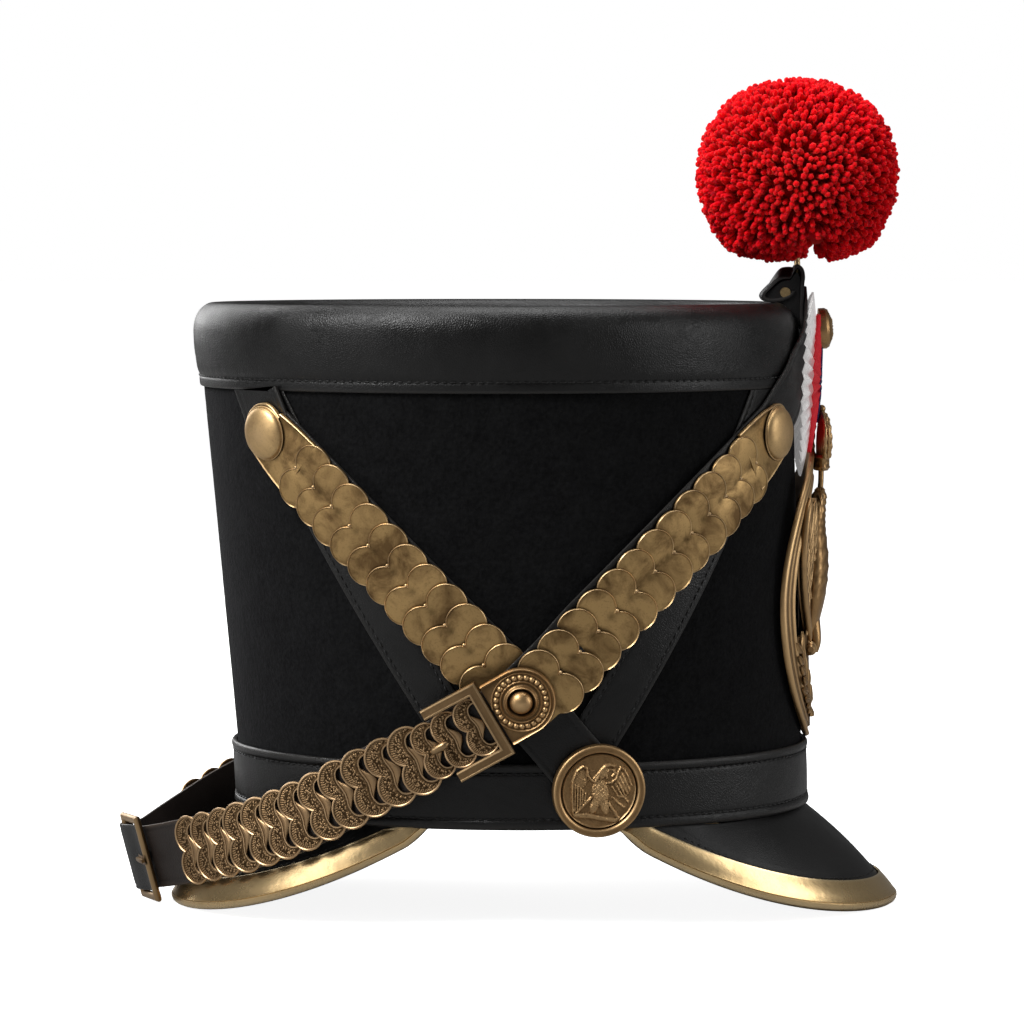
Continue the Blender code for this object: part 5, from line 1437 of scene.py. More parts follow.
def frame_bars(name, place, half, section, wear, open_rear=False, steps=10):
    """A rectangular frame whose bars keep one section of (offset, height); an open one has no rear bar."""
    offset, height = np.asarray(section, float).T
    corners = [(1, -1), (-1, -1), (-1, 1), (1, 1)] + [(1, -1)] * (not open_rear)
    path = np.vstack([line_between(start, end, steps) for start, end in zip(corners[:-1], corners[1:])])
    if open_rear:
        path = np.vstack([path, [corners[-1]]])
    u, v = path[:, :1] * (half[0] + offset), path[:, 1:] * (half[1] + offset)
    if open_rear:
        u[[0, -1]] = half[0] + 1.2
    rows = place(u, v, np.broadcast_to(height, u.shape))
    return tube(name, rows, BUCKLE_BRASS, closed=not open_rear, sharp=30.0, wear=np.tile(wear, len(path)))


def bent_strip(name, path, thickness, half_width, place, material):
    """A strip bent along a flat path of (run, out) that place() puts on the hat."""
    path = spline(path, 5)
    run = unit(np.gradient(path, axis=0))
    normal = stack(-run[:, 1], run[:, 0])
    rows = []
    for spot, way, width in zip(path, normal, np.broadcast_to(half_width, (len(path),))):
        section = np.array(strip_section(width, thickness, min(1.6, width * 0.45), 0.08))
        offset = spot + way * (section[:, 1:] - thickness / 2)
        rows.append(place(offset[:, 0], offset[:, 1], section[:, 0]))
    return tube(name, rows, material, wear=np.tile(STRIP_WEAR, len(path)))


def rod(name, path, radius, material, around=14, sideways=(0.0, 1.0, 0.0), wear=0.0):
    """A round rod along a path; radius and wear may change along it."""
    path, sideways = np.asarray(path, float), np.asarray(sideways, float)
    run = unit(np.gradient(path, axis=0))
    sideways = unit(sideways - run * (run @ sideways)[:, None])[:, None]
    turn = full_turn(around)[:, None]
    radius, wear = (np.broadcast_to(values, (len(path),)) for values in (radius, wear))
    ring = np.cos(turn) * sideways + np.sin(turn) * np.cross(run, sideways[:, 0])[:, None]
    return tube(name, path[:, None] + radius[:, None, None] * ring, material, wear=np.repeat(wear, around))


def make_chin(side_name, side):
    """Half of the chin strap with its scales and its square buckle; the route is given back."""
    chin = chin_route(side)
    steps = np.linspace(2.0, chin.length, 150)
    width = 10.1 + 1.9 * smooth_step((steps - 38) / 20)
    piece = strip(
        f"chin_leather_{side_name}", chin, steps, width, CHIN_LEATHER, 0.0, BROWN_LEATHER, 2.2, last=(1, side * 0.5),
    )
    finish(piece, "brown_leather", f"chin_strap_{side_name}")

    narrow = CHIN_CENTRES < 41
    pieces = []
    for master, chosen in ((CHIN_NARROW_SCALE, narrow), (CHIN_WIDE_SCALE, ~narrow)):
        spots = CHIN_CENTRES[chosen]
        point, along, _, outward = chin.frames(spots)
        raise_it = 0.9 * smooth_step((48 - spots) / 10)
        place = point + outward * (CHIN_LEATHER + 0.75 + raise_it)[:, None]
        pieces.append(set_copies(
            f"chin_scales_{side_name}_{len(pieces)}", master, place, *leaning(along, outward, 8.0), CHIN_BRASS,
            0.02, 0.01, 7 + side,
        ))
    finish(join(f"chin_scales_{side_name}", pieces), "aged_brass", f"chin_scale_chain_{side_name}")

    half = (BUCKLE_LENGTH / 2 - BUCKLE_BAR / 2, BUCKLE_WIDTH / 2 - BUCKLE_BAR / 2)
    bar, sheet = BUCKLE_BAR / 2, BUCKLE_SHEET
    right = [(1.0, sheet - 0.12), (0.75, sheet), (0.2, sheet - 0.2), (0.0, sheet - 0.7), (0.0, 0.0)]
    section = [(inset - bar, out) for inset, out in right[::-1]] + [(bar - inset, out) for inset, out in right]

    def on_strap(u, v, out):
        return chin.place(BUCKLE_DISTANCE + u, v, 1.9 + out + 0.9)

    wear = [0, 0.5, 1, 0.9, 0.05, 0.05, 0.9, 1, 0.5, 0]
    piece = frame_bars(f"square_buckle_{side_name}", on_strap, half, section, wear, True, 12)
    finish(piece, "aged_brass", f"side_buckle_{side_name}")
    path = chin.place(np.linspace(32.6, 39.2, 9), 0.0, 5.6 + 0.5 * np.sin(np.linspace(0, np.pi, 9)))
    radius = 1.55 * np.sqrt(np.maximum(1 - np.linspace(-1, 1, 9) ** 8, 0.25))
    piece = rod(f"buckle_tip_{side_name}", path, radius, BUCKLE_BRASS, 12, chin.frames(35.0)[2], 0.6)
    finish(piece, "aged_brass", f"side_buckle_tongue_{side_name}")
    return chin


def make_rear_buckle():
    """The buckle at the back: rounded bars, a leather fold round the far bar, and a prong."""
    along = unit(FAR_BAR - NEAR_BAR)
    level = unit((-along[1], along[0], 0.0))
    tilt = math.radians(14.5)
    outward = unit(level - along * (level @ along))
    across = np.cross(along, outward)
    across = across * np.sign(across[2])
    outward = unit(outward * math.cos(tilt) - across * math.sin(tilt))
    across = unit(across - outward * (across @ outward))
    span = np.linalg.norm(FAR_BAR - NEAR_BAR)
    middle = (FAR_BAR + NEAR_BAR) / 2

    def place_from(origin):
        def place(run, out, spread):
            run, out, spread = np.broadcast_arrays(np.asarray(run, float), out, spread)
            return origin + along * run[..., None] + outward * out[..., None] + across * spread[..., None]

        return place

    turn = full_turn(14)
    bar = REAR_BAR / 2
    section = stack(bar * 1.4 * np.cos(turn), bar * 1.15 * np.sin(turn))
    centre = place_from(middle)
    half = (span / 2, REAR_BUCKLE_HEIGHT / 2 - bar + 0.4)
    wear = 0.8 * np.clip(np.sin(turn), 0, 1) + 0.15
    piece = frame_bars("rear_frame", lambda u, v, out: centre(u, out, v), half, section, wear)
    finish(piece, "aged_brass", "rear_buckle")
    clear = bar + GAP + 0.5
    fold = [
        (-span + REAR_BAR + 1.0, 0.0), (-span + REAR_BAR + 5.0, 0.3), (-5.0, clear * 0.8), (-1.5, clear), (0.6, clear),
        (clear * 0.9, clear * 0.55), (clear * 1.05, -0.2), (clear * 0.8, -clear * 0.75), (0.2, -clear), (-1.6, -clear),
    ]
    half_width = REAR_BUCKLE_HEIGHT / 2 - REAR_BAR - 0.6
    piece = bent_strip("rear_fold", fold, 0.9, half_width, place_from(FAR_BAR), BLACK_LEATHER)
    finish(piece, "leather", "rear_buckle_chape")
    prong = [(7.0, 1.9), (3.0, 2.3), (0.0, 2.4), (-2.0, 2.2)]
    piece = bent_strip("rear_prong", prong, 1.3, 0.8, place_from(NEAR_BAR), BUCKLE_BRASS)
    finish(piece, "aged_brass", "rear_buckle_prong")


# ---- cockade and front plate
COCKADE_HEIGHT = 193.2


def cockade_point(radius, turn, level):
    y = radius * np.sin(turn)
    rise = radius * np.cos(turn)
    bow = y * y / 164.0 + rise * rise / 300.0
    return stack(109.4 - bow + 0.060 * rise + level, y, COCKADE_HEIGHT + rise)


def cockade_layer(name, inner, outer, teeth, tooth, level, depth, thickness, material, slot, node):
    """A ring of ribbon folded into pleats; each fold runs out to a point of its edge."""
    count = teeth * 8
    turn = full_turn(count)
    fold = 1 - 4 * np.abs((np.arange(count) / 8.0) % 1.0 - 0.5)
    edge = outer - tooth * (0.5 - 0.5 * fold)
    shares = np.concatenate([np.linspace(0, 0.9, 10), [0.96, 0.99, 1.0]])
    rows, recess, rib = [], [], []
    for face in (1, -1):
        for share in shares if face > 0 else shares[::-1]:
            radius = inner + (edge - inner) * share
            lift = depth * fold * (0.25 + 0.75 * share) + (thickness / 2) * face + 0.25 * depth * np.sin(3 * turn + share)
            rows.append(cockade_point(radius, turn, level + lift))
            # recess marks the valleys of the pleats, where the ribbon gets painted shade
            recess.append((1 - smooth_step((fold + 1) / 1.5)) * 0.9)
            rib.append(radius * 2 * np.pi / 0.62)
    marks = {"recess": np.array(recess).T, "rib": np.array(rib).T}
    piece = tube(name, np.array(rows).transpose(1, 0, 2), material, closed=True, sharp=60.0, **marks)
    finish(piece, slot, node)


def make_cockade():
    cockade_layer(
        "white_pleats", 12.0, 34.4, 36, 3.4, 0.0, 1.0, 0.45, WHITE_RIBBON, "white_cloth", "cockade_white"
    )
    cockade_layer("red_pleats", 4.0, 27.5, 29, 4.8, 1.6, 0.95, 0.4, RED_RIBBON, "red_cloth", "cockade_red")
    cockade_layer("blue_pleats", 0.6, 14.5, 20, 5.6, 2.2, 0.45, 0.35, BLUE_RIBBON, "blue_cloth", "cockade_blue")
    facing = Facing(cockade_point(np.array(20.7), 0.0, 1.9), (1.0, 0.0, 0.060), (0.0, 1.0, 0.0))
    steps = 120

    def height(x, y):
        reach = np.hypot(x, y)
        dome = 1.3 + 3.7 * half_round(reach / 7.9)
        knurl = 0.14 * np.sin(x * 3.6 + np.sin(y * 2.1)) * np.sin(y * 3.9 + np.sin(x * 1.7))
        star = 0.35 * bump((np.arctan2(y, x) / (2 * np.pi) * 12) % 1.0 - 0.5, 0.32) * bump(reach - 3.0, 2.2)
        return dome + (knurl + star) * (reach < 6.4) + 0.35 * bump(reach - 6.9, 0.5)

    reaches = [np.full(steps, reach) for reach in np.concatenate([np.linspace(0.3, 6.2, 18), np.linspace(6.4, 7.6, 8)])]
    piece = relief_disc(
        "cockade_stud", facing, reaches, height, RELIEF_BRASS, wear=lambda x, y: 0.5 * (np.hypot(x, y) < 5),
        # recess: a dark ring in the groove round the dome, partly patina and partly painted shade
        recess=lambda x, y: bump(np.hypot(x, y) - 6.4, 0.5) * 0.8,
    )
    finish(piece, "aged_brass", "cockade_button")


def plate_proud(height):
    return 1.0 + 4.2 * smooth_step((height - 110) / 62)


def plate_point(y, height, level):
    return stack(wall_front(y * 0.93, height) + plate_proud(height) + level, y, height)


def leaf_master(name, length, width, rise, steps):
    """A pointed leaf or feather along +X with a raised midrib, closed below."""
    share = np.linspace(0, 1, steps)[:, None]
    half = width * np.sin(np.pi * np.clip(share, 0.02, 0.985)) ** 0.75 * (1 - 0.25 * share)
    across = np.array([-1.0, -0.62, -0.16, 0.0, 0.16, 0.62, 1.0])
    lift = np.array([0.15, 0.62, 0.70, 1.0, 0.70, 0.62, 0.15])
    level = rise * lift * (0.5 + 0.5 * np.sin(np.pi * share))
    top = stack(share * length, half * across, level)
    under = top[:, [6, 3, 0]] * (1, 1, 0) - (0, 0, 0.25)
    wear = np.tile([0.6, 0.1, 0.1, 1.0, 0.1, 0.1, 0.6, 0, 0, 0], steps)
    # recess darkens the furrows beside the midrib: partly patina, partly painted shade
    recess = np.tile([0.0, 0.1, 0.5, 0.0, 0.5, 0.1, 0.0, 0, 0, 0], steps)
    return pattern(name, np.concatenate([top, under], axis=1), capped(steps, 10), RELIEF_BRASS, wear=wear, recess=recess)


PLATE_HEIGHT, PLATE_HALF_WIDTH, PLATE_HALF_HEIGHT = 115.2, 42.5, 51.8


def surface_copies(name, master, spots, aim, level, side, seed, turn_spread=0.04, size_spread=0.06):
    """Copies laid on the plate at (y, height), each pointing the way that aim gives."""
    y, height = np.asarray(spots, float).T
    aim = np.asarray(aim, float)
    place = plate_point(side * y, height, level)
    ahead = plate_point(side * (y + aim[:, 0] * 0.5), height + aim[:, 1] * 0.5, level)
    aside = plate_point(side * (y - aim[:, 1] * 0.5), height + aim[:, 0] * 0.5, level)
    along = unit(ahead - place)
    outward = unit(np.cross(along, aside - place))
    outward *= np.sign(outward[:, :1])
    return set_copies(name, master, place, along, outward, RELIEF_BRASS, turn_spread, size_spread, seed)


def make_plate_ring():
    turn = full_turn(220)[:, None]
    section = np.array([
        (1.6, 0.0), (1.95, 0.8), (1.75, 1.6), (1.2, 2.15), (0.65, 2.1), (0.3, 1.5), (-0.2, 1.35), (-1.6, 1.7),
        (-2.5, 1.4), (-2.9, 1.9), (-3.6, 1.9), (-4.0, 1.35), (-5.2, 1.6), (-6.3, 1.4), (-6.7, 1.9), (-7.5, 2.25),
        (-8.2, 1.9), (-8.5, 0.5), (-4.0, 0.0),
    ])
    y = (PLATE_HALF_WIDTH + section[:, 0]) * np.sin(turn)
    height = PLATE_HEIGHT + (PLATE_HALF_HEIGHT + section[:, 0]) * np.cos(turn)
    points = plate_point(y, height, section[:, 1])
    wear = np.tile([0, 0.3, 0.8, 1, 0.8, 0, 0, 0.2, 0, 0.8, 0.8, 0, 0.2, 0, 0.8, 1, 0.7, 0, 0], 220)
    # recess darkens the grooves of the ring's section: partly patina, partly painted shade
    recess = np.tile([0, 0, 0, 0, 0.2, 0.8, 0.7, 0, 0.7, 0, 0, 0.8, 0.1, 0.7, 0, 0, 0.2, 0.6, 0.5], 220)
    finish(tube("plate_ring", points, RELIEF_BRASS, True, wear=wear, recess=recess), "aged_brass", "front_plate")


def make_plate_foot():
    """The filled foot of the ring under the laurel, darkened all over: partly patina, partly painted shade under the
    laurel.
    """
    heights = np.linspace(65.5, 101.0, 22)
    rows = []
    for height in heights:
        rise = (height - PLATE_HEIGHT) / (PLATE_HALF_HEIGHT - 1.0)
        reach = (PLATE_HALF_WIDTH - 4.0) * math.sqrt(max(1 - rise**2, 0.01))
        share = np.linspace(-1, 1, 31)
        top = plate_point(share * reach, height, 1.1 + 1.5 * (1 - share**2) + 0.06 * np.sin(share * 40 + height))
        rows.append(np.concatenate([top, plate_point(share[::-1] * reach, height, 0.3)]))
    # painted shade with patina: the whole foot is darkened, as under the laurel
    recess = np.full((len(heights), 62), 0.55)
    finish(tube("plate_foot", np.array(rows), RELIEF_BRASS, recess=recess), "aged_brass")


def make_wing(side_name, side):
    table = [  # height, distance from the middle to the wing's inner edge and to its outer edge
        (152.0, 23.0, 25.5), (146.0, 16.0, 29.0), (139.0, 10.0, 30.0), (128.0, 5.0, 29.0), (115.0, 4.0, 23.5),
        (103.0, 4.0, 15.0), (97.0, 5.0, 10.0),
    ]
    rows = spline(table, 6)
    share = np.linspace(0, 1, 16)
    y = rows[:, 1:2] + (rows[:, 2:3] - rows[:, 1:2]) * share
    level = 4.6 - 2.6 * share + 0.5 * np.sin(np.pi * share)
    top = plate_point(side * y, rows[:, :1], level)
    under = plate_point(side * y[:, ::-1], rows[:, :1], np.full(16, 0.9) + 0.4 * (1 - share[::-1]))
    finish(tube(f"plate_wing_{side_name}", np.concatenate([top, under], axis=1), RELIEF_BRASS), "aged_brass")
    pieces = []
    for index, (count, start, end, aims, level) in enumerate((
        (11, (26.5, 146.0), (8.0, 112.0), ((0.25, -1.0), (0.35, -1.0)), 3.1),
        (10, (25.0, 150.0), (7.0, 124.0), ((0.30, -1.0), (0.45, -1.0)), 3.7),
        (10, (22.5, 151.0), (6.5, 134.0), ((0.5, -1.0), (0.8, -1.0)), 4.3),
    )):
        share = np.linspace(0, 1, count)[:, None]
        bow = np.sin(np.pi * share) * np.array([[2.5, 3.0]])
        spots = np.array(start) * (1 - share) + np.array(end) * share + bow
        aim = unit(np.array(aims[0]) * (1 - share) + np.array(aims[1]) * share)
        master = (LONG_FEATHER, MID_FEATHER, SHORT_FEATHER)[index]
        pieces.append(surface_copies(f"feathers_{side_name}_{index}", master, spots, aim, level, side, 20 + index))
    finish(join(f"plate_feathers_{side_name}", pieces), "aged_brass")
    edge = plate_point(side * rows[:, 2], rows[:, 0], 2.9)
    radius = 1.5 * np.sqrt(np.maximum(1 - np.linspace(-1, 1, len(edge)) ** 8, 0.12))
    finish(rod(f"plate_wing_edge_{side_name}", edge, radius, RELIEF_BRASS, 12, (1, 0, 0), 0.35), "aged_brass")


def oval_form(name, table, wave):
    """A rounded form through level ovals of (height, middle x, half depth, half width); wave() adds its texture."""
    height, middle, deep, wide = spline(table, 7).T[:, :, None]
    turn = full_turn(48)
    texture = np.broadcast_to(wave(height, turn[None, :]), (len(height), 48))
    x = middle + (deep + texture) * np.cos(turn)
    points = stack(x, (wide + texture) * np.sin(turn), height)
    # the dips of the texture are darkened, partly patina and partly painted shade; its ridges are worn bright
    wear, recess = np.clip(texture * 1.6, 0, 1), np.clip(-texture * 2.2, 0, 0.9)
    return tube(name, points, RELIEF_BRASS, wear=wear, recess=recess)


def make_plate_eagle():
    def feathers(height, turn):
        row = np.floor(height / 2.6)
        rise = height / 2.6 - row
        across = turn * 12 / (2 * np.pi) + 0.5 * (row % 2)
        scallop = np.abs(across % 1.0 - 0.5) * 2
        return (0.55 * (1 - rise) * (1 - scallop**2) - 0.22) * smooth_step((height - 111) / 9)

    body = [(92.5, 107.4, 1.6, 3.5), (95.0, 107.4, 2.8, 6.5), (103.0, 107.8, 3.5, 9.3), (115.0, 109.0, 5.0, 11.8),
            (127.0, 109.6, 5.4, 11.2), (139.0, 109.6, 4.4, 7.8), (147.0, 110.4, 3.5, 5.0), (152.0, 111.4, 2.7, 4.0),
            (154.6, 111.7, 1.2, 1.8)]
    finish(oval_form("plate_eagle_body", body, feathers), "aged_brass")
    beak = [(111.4, -2.5, 151.4), (111.6, -4.5, 151.2), (111.6, -6.6, 150.2), (111.4, -7.6, 148.6)]
    thinning = np.linspace(1.7, 0.3, 13)
    finish(rod("plate_eagle_beak", spline(beak, 4), thinning, RELIEF_BRASS, 10, (1, 0, 0), 0.6), "aged_brass")
    stem = spline([(111.7, 0, 153.6), (112.0, 0, 157.0), (112.1, 0, 162.5)], 4)
    finish(rod("plate_crown_stem", stem, 1.05, RELIEF_BRASS), "aged_brass")

    spread = np.linspace(-17.5, 17.5, 61)
    radius = (2.5 + 0.35 * np.sin(spread * 2.6)) * np.sqrt(np.maximum(1 - (spread / 18.3) ** 6, 0.1))
    path = stack(107.3, spread, 95.3)
    wear = (0.4 + 0.4 * np.sin(spread * 2.6)).clip(0, 1)
    finish(rod("plate_thunderbolt", path, radius, RELIEF_BRASS, 18, (0, 0, 1), wear), "aged_brass")
    legs = []
    for side in (-1, 1):
        stops = ((108.6, 5.0, 105.0), (109.4, 6.2, 100.5), (109.8, 6.8, 97.0), (109.2, 7.0, 93.6))
        leg = spline([(x, side * y, height) for x, y, height in stops], 4)
        legs.append(rod(f"leg_{side}", leg, np.linspace(3.0, 1.5, len(leg)), RELIEF_BRASS, 12))
    finish(join("plate_eagle_legs", legs), "aged_brass")


def make_plate_crown():
    """The crown: a beaded circlet, arches that meet under a small ball, and a cap inside them."""
    def band(height, turn):
        beads = 0.22 * np.sin(turn * 22) * bump(height - 164.2, 1.6)
        return beads + 0.35 * (bump(height - 162.3, 0.6) + bump(height - 166.0, 0.6))

    circlet = [
        (161.2, 112.0, 2.6, 8.6), (162.3, 112.1, 3.0, 9.2), (164.2, 112.1, 2.9, 9.3), (166.0, 112.1, 3.0, 9.6),
        (167.0, 112.1, 2.2, 8.8),
    ]
    cap = [
        (166.2, 112.1, 1.9, 8.4), (171.0, 112.3, 2.1, 10.6), (176.0, 112.3, 1.8, 10.2), (180.4, 112.2, 1.2, 6.2),
        (182.4, 112.2, 0.4, 1.4),
    ]
    finish(oval_form("plate_crown_circlet", circlet, band), "aged_brass")
    finish(oval_form("plate_crown_cap", cap, lambda height, turn: 0.10 * np.sin(turn * 31) - 0.12), "aged_brass")
    arches = []
    for index, way in enumerate(np.radians((-80, -52, -26, 0, 26, 52, 80, 180))):
        stops = ((166.0, 2.8, 9.4), (171.0, 3.3, 12.2), (176.5, 2.9, 12.6), (180.6, 2.0, 8.2), (182.6, 0.6, 1.6))
        table = spline(stops, 5)
        path = stack(112.2 + table[:, 1] * math.cos(way), table[:, 2] * math.sin(way), table[:, 0])
        radius = 0.75 + 0.22 * np.sin(np.arange(len(path)) * 1.9)
        arches.append(rod(f"arch_{index}", path, radius, RELIEF_BRASS, 10, (0.2, 1.0, 0.1), 0.45))
    ball = np.array([(math.sin(a) * 1.45 + 0.05, 184.0 - 1.5 * math.cos(a)) for a in np.linspace(0.25, np.pi - 0.2, 9)])
    arches.append(turned("ball", ball, (112.2, 0.0, 0.0), (0, 0, 1), RELIEF_BRASS, 16))
    finish(join("plate_crown_arches", arches), "aged_brass")


def make_laurel(side_name, side):
    share = np.linspace(0, 1, 10)
    turn = np.radians(180.0 - 62.0 * share)
    half_width, half_height = PLATE_HALF_WIDTH - 11.5, PLATE_HALF_HEIGHT - 9.5
    stalk = stack(half_width * np.sin(turn), PLATE_HEIGHT + half_height * np.cos(turn))
    run = unit(np.gradient(stalk, axis=0))
    spots, aims = [], []
    for spot, way in zip(stalk, run):
        normal = np.array((-way[1], way[0]))
        for hand in (-1, 1):
            spots.append(spot + normal * hand * 0.6)
            aims.append(unit(way * 1.0 + normal * hand * 0.62))
    level = 2.5
    leaves = surface_copies(f"leaves_{side_name}", LEAF, spots, aims, level, side, 31, 0.10, 0.08)
    line = plate_point(side * stalk[:, 0], stalk[:, 1], level + 0.1)
    twig = rod(f"twig_{side_name}", spline(line, 3), 0.55, RELIEF_BRASS, 8, (1, 0, 0))
    finish(join(f"plate_laurel_{side_name}", [leaves, twig]), "aged_brass")


# ---- loop, stem and pompom
POMPOM_MIDDLE = np.array((102.8, 0.0, 270.6))
YARN_LENGTH = 13.0
POMPOM_PROFILE = (  # radius, height
    (0, 307), (9.1, 306.3), (17, 303.9), (23.4, 300.4), (29.9, 294.4), (33.7, 288.5), (36, 282.5), (37.5, 275), (37.8, 270),
    (37.3, 264.6), (35.6, 258.7), (32.8, 252.7), (29.5, 246.8), (25, 243), (17, 240.2), (9, 238.9), (2.2, 240.6), (0, 242.0),
)


def make_plume():
    path = [(104.1, 214.0), (104.1, 222.0), (104.3, 230.2), (104.6, 233.4), (103.9, 236.2), (101.6, 237.5), (98.4, 237.7),
            (95.8, 236.8), (93.2, 233.6), (91.0, 230.0), (89.8, 226.6), (90.6, 225.0), (93.0, 224.5), (96.6, 224.9),
            (99.4, 226.2), (101.1, 228.6)]

    def place(run, out, spread):
        droop = np.maximum(out - 226.0, 0.0) * 0.50 * (np.abs(spread) / 8.0) ** 1.4 * smooth_step((102.6 - run) / 3.0)
        return stack(run, spread, out - droop)

    count = (len(path) - 1) * 5 + 1
    rise = spline([(z, 0.0) for _, z in path], 5)[:, 0]
    width = 8.0 - 0.8 * smooth_step((rise - 230.0) / 7.0)
    piece = bent_strip("leather_loop", path, 1.5, width[:count], place, PEAK_LEATHER_FINISH)
    finish(piece, "leather", "plume_loop")
    inside = spline([(103.3, 226.4), (103.4, 230.5), (103.4, 232.8), (102.6, 234.6), (101.2, 235.5), (98.5, 235.7),
                     (96.7, 234.9), (94.4, 232.2), (92.1, 229.0), (90.8, 226.8), (91.5, 224.3), (93.2, 223.6), (96.6, 222.8),
                     (99.2, 221.0), (101.0, 218.0), (101.8, 214.5), (103.2, 214.5), (103.3, 220.0)], 2, True)
    rows = [place(inside[:, 0], inside[:, 1], spread) for spread in np.linspace(-6.9, 6.9, 9)]
    finish(tube("loop_inside", np.array(rows), PEAK_LEATHER_FINISH), "leather")
    stops = ((98.2, 228.6), (99.8, 230.2), (101.6, 232.0), (102.8, 234.4), (102.8, 239.0), (102.8, 243.2))
    stem = spline([(x, 0, height) for x, height in stops], 4)
    foot = stack(98.0, np.linspace(-7.9, 7.9, 9), 227.4)
    pieces = [
        rod("stem_rod", stem, 1.15, BRIGHT_BRASS, wear=0.3),
        rod("stem_foot", foot, (1.9, 2.1, 2.1, 2.1, 2.1, 2.1, 2.1, 2.1, 1.9), BRIGHT_BRASS, 18, (1, 0, 0)),
    ]
    finish(join("stem_and_bar", pieces), "bright_brass", "plume_stem")


def pompom_reach(rise):
    """How far the pompom's form reaches from its middle, by the sine of the angle above level."""
    profile = np.array(POMPOM_PROFILE, float)
    gap = stack(profile[:, 0], profile[:, 1] - POMPOM_MIDDLE[2])
    reach = np.hypot(gap[:, 0], gap[:, 1])
    angle = gap[:, 1] / reach
    return np.interp(rise, angle[::-1], reach[::-1])


def yarn_master():
    """One cut end of yarn, twisted, a little fuller at its tip."""
    around = 5
    table = np.array([(-YARN_LENGTH, 0.80), (-6.0, 0.98), (-2.0, 1.16), (-0.6, 1.18), (0.15, 0.98), (0.6, 0.45)])
    turn = full_turn(around)
    bend = 0.05 * table[:, 0] * np.sin(table[:, 0] * 0.5)
    twist = turn[None, :] + table[:, :1] * 0.35
    rows = stack(table[:, 1:2] * np.cos(twist) + bend[:, None], table[:, 1:2] * np.sin(twist), table[:, :1])
    # reach: 0 at the root, 1 at the tip; the yarn material paints shade at low reach and a highlight at the tip
    reach = np.repeat((table[:, 0] + YARN_LENGTH) / 13.6, around)
    return pattern("yarn", rows, capped(len(table), around), RED_YARN, reach=reach)


def make_pompom():
    count = 3480
    rng = np.random.default_rng(12)
    index = np.arange(count) + 0.5
    rise = 1 - 2 * index / count
    turn = np.pi * (1 + 5**0.5) * index
    flat = np.sqrt(1 - rise**2)
    ways = stack(flat * np.cos(turn), flat * np.sin(turn), rise)
    ways = unit(ways + rng.normal(0, 0.017, ways.shape))
    ways = ways[(ways[:, 2] > -0.97) | (np.hypot(ways[:, 0], ways[:, 1]) > 0.10)]
    sway = rng.normal(0, 0.07, ways.shape)
    for pull in (0.050, 0.050, 0.055, 0.055, 0.045, 0.045, 0.035, 0.035):  # clumps and partings
        wave = unit(rng.normal(0, 1, 3)) * rng.uniform(6.0, 17.0)
        sway = sway + unit(rng.normal(0, 1, 3)) * pull * np.sin(ways @ wave + rng.uniform(0, 6.28))[:, None] * 1.15
    lean = unit(ways + sway)
    reach = pompom_reach(ways[:, 2]) - 1.0 + rng.normal(0, 0.85, len(ways)).clip(-2.6, 1.0)
    reach -= np.minimum(16.0 * bump(ways[:, 0] * 30.0 - 4.9, 5.4), 8.0) * (ways[:, 2] < -0.62)
    place = POMPOM_MIDDLE + ways * (reach - YARN_LENGTH)[:, None] + lean * YARN_LENGTH
    along = unit(np.cross(lean, rng.normal(0, 1, ways.shape)))
    yarn = set_copies("pompom_yarn", YARN, place, along, lean, RED_YARN, 0.04, 0.13, 9)
    finish(yarn, "red_wool", "pompom")
    core = []
    for angle in np.linspace(-np.pi / 2 + 0.05, np.pi / 2 - 0.05, 26):
        inner = pompom_reach(math.sin(angle)) - 6.5
        core.append((max(math.cos(angle), 0.03) * inner, math.sin(angle) * inner))
    # the core takes the yarn's darkest colour: painted shade deep in the ball
    piece = turned("pompom_core", core[::-1], POMPOM_MIDDLE, (0, 0, 1), RED_YARN, 48, reach=np.full(26, 0.2))
    finish(piece, "red_wool")


CHIN_NARROW_SCALE = chin_scale_master("chin_scale_narrow", 0.81, 0.84)
CHIN_WIDE_SCALE = chin_scale_master("chin_scale_wide", 1.0, 1.0)
LONG_FEATHER = leaf_master("long_feather", 16.0, 2.3, 0.9, 11)
MID_FEATHER = leaf_master("mid_feather", 11.5, 2.3, 0.9, 9)
SHORT_FEATHER = leaf_master("short_feather", 8.0, 2.1, 0.9, 8)
LEAF = leaf_master("laurel_leaf", 7.6, 1.9, 1.2, 9)
YARN = yarn_master()
MASTERS = (STITCH, PLAIN_SCALE, CHIN_NARROW_SCALE, CHIN_WIDE_SCALE, LONG_FEATHER, MID_FEATHER, SHORT_FEATHER, LEAF, YARN)


# ---- making it all
make_felt()
make_top_band()
make_lower_band()
make_crown_top()
make_chevrons()
make_peak("front", 1, 138.6, 83.8, 34.0, 34.6, 1.85, 1.5)
make_peak("rear", -1, 128.8, 84.0, 31.5, 36.3, 1.62, 1.0)
for number_of_side, (side_name, side) in enumerate(SIDES):
    make_side(side_name, side, 3 + number_of_side)
for side_name, side in SIDES:
    make_side_button(side_name, side)
    make_rosette(side_name, side, make_chin(side_name, side))
    make_wing(side_name, side)
    make_laurel(side_name, side)
make_rear_buckle()
make_cockade()
make_plate_ring()
make_plate_foot()
make_plate_eagle()
make_plate_crown()
make_plume()
make_pompom()

stitches = (np.vstack(lines) for lines in zip(*STITCH_LINES))
finish(set_copies("leather_stitching", STITCH, *stitches, THREAD, 0.09, 0.08, 5), "leather")
for master in MASTERS:
    bpy.data.objects.remove(master)


# ---- stage
def in_scene(name, data):
    holder = bpy.data.objects.new(name, data)
    bpy.context.scene.collection.objects.link(holder)
    return holder


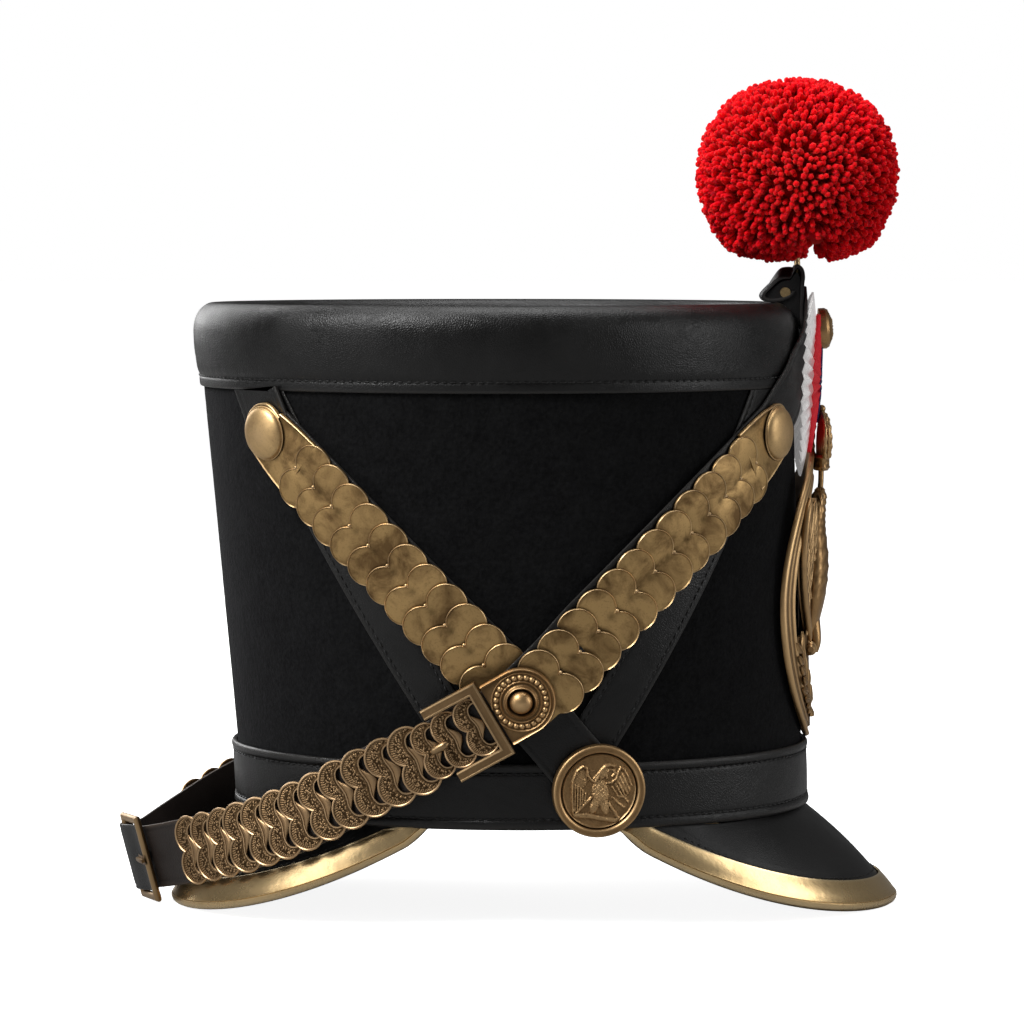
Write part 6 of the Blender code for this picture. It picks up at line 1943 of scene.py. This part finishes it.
def area_light(name, place, target, size, power):
    lamp = bpy.data.lights.new(name, "AREA")
    lamp.shape = "RECTANGLE"
    lamp.size, lamp.size_y = size
    lamp.energy = power
    holder = in_scene(name, lamp)
    holder.location = place
    holder.rotation_mode = "QUATERNION"
    holder.rotation_quaternion = (Vector(target) - Vector(place)).to_track_quat("-Z", "Y")


ROOM_LIGHT = 0.14


def make_stage():
    floor_mesh = bpy.data.meshes.new("studio_floor")
    reach = 30.0
    corners = [(-reach, -reach, 0), (reach, -reach, 0), (reach, reach, 0), (-reach, reach, 0)]
    floor_mesh.from_pydata(corners, [], [(0, 1, 2, 3)])
    paper = Shader("pale_paper")
    paper.set(Base_Color=(0.80, 0.80, 0.80), Roughness=0.9, Specular_IOR_Level=0.1)
    paper.set(Emission_Color=(1.0, 1.0, 1.0), Emission_Strength=0.90)
    dim = paper.node("ShaderNodeBsdfDiffuse", {"Color": (0.28, 0.28, 0.28)})
    seen = paper.node("ShaderNodeLightPath").outputs["Is Camera Ray"]
    choice = paper.node("ShaderNodeMixShader", {0: seen, 1: dim.outputs[0], 2: paper.surface.outputs[0]})
    plug(paper.tree, paper.tree.nodes["Material Output"].inputs["Surface"], choice.outputs[0])
    floor_mesh.materials.append(paper.material)
    in_scene("studio_floor", floor_mesh)

    world = bpy.data.worlds.new("studio")
    world.use_nodes = True
    room = world.node_tree
    seen = room.nodes.new("ShaderNodeLightPath").outputs["Is Camera Ray"]
    glow = room.nodes["Background"].inputs
    plug(room, glow["Strength"], number(room, "MULTIPLY_ADD", seen, 1.0 - ROOM_LIGHT, ROOM_LIGHT))
    glow["Color"].default_value = (1.0, 1.0, 1.0, 1.0)
    bpy.context.scene.world = world

    area_light("key_softbox", (-1.0, -0.85, 1.35), (0.0, 0.0, 0.15), (0.7, 0.7), 33.0)
    area_light("fill_softbox", (1.65, -0.45, 0.5), (0.0, 0.0, 0.15), (0.8, 1.1), 8.0)
    area_light("top_softbox", (0.0, 0.1, 1.5), (0.0, 0.0, 0.1), (1.2, 0.9), 16.0)
    area_light("low_softbox", (-1.5, -0.75, 0.30), (0.0, 0.0, 0.12), (0.6, 0.8), 4.0)
    area_light("back_softbox", (-0.9, 1.2, 0.7), (0.0, 0.0, 0.15), (0.8, 1.0), 10.0)

    lens = bpy.data.cameras.new("photo_camera")
    lens.lens = 152.72
    lens.sensor_width = 36.0
    lens.clip_end = 50.0
    camera = in_scene("photo_camera", lens)
    camera.location = (0.0017, -1.621, 0.2439)
    camera.rotation_euler = (math.radians(90.0 - 3.478), 0.0, 0.0)
    bpy.context.scene.camera = camera
    bpy.context.scene.view_settings.view_transform = "Standard"


make_stage()
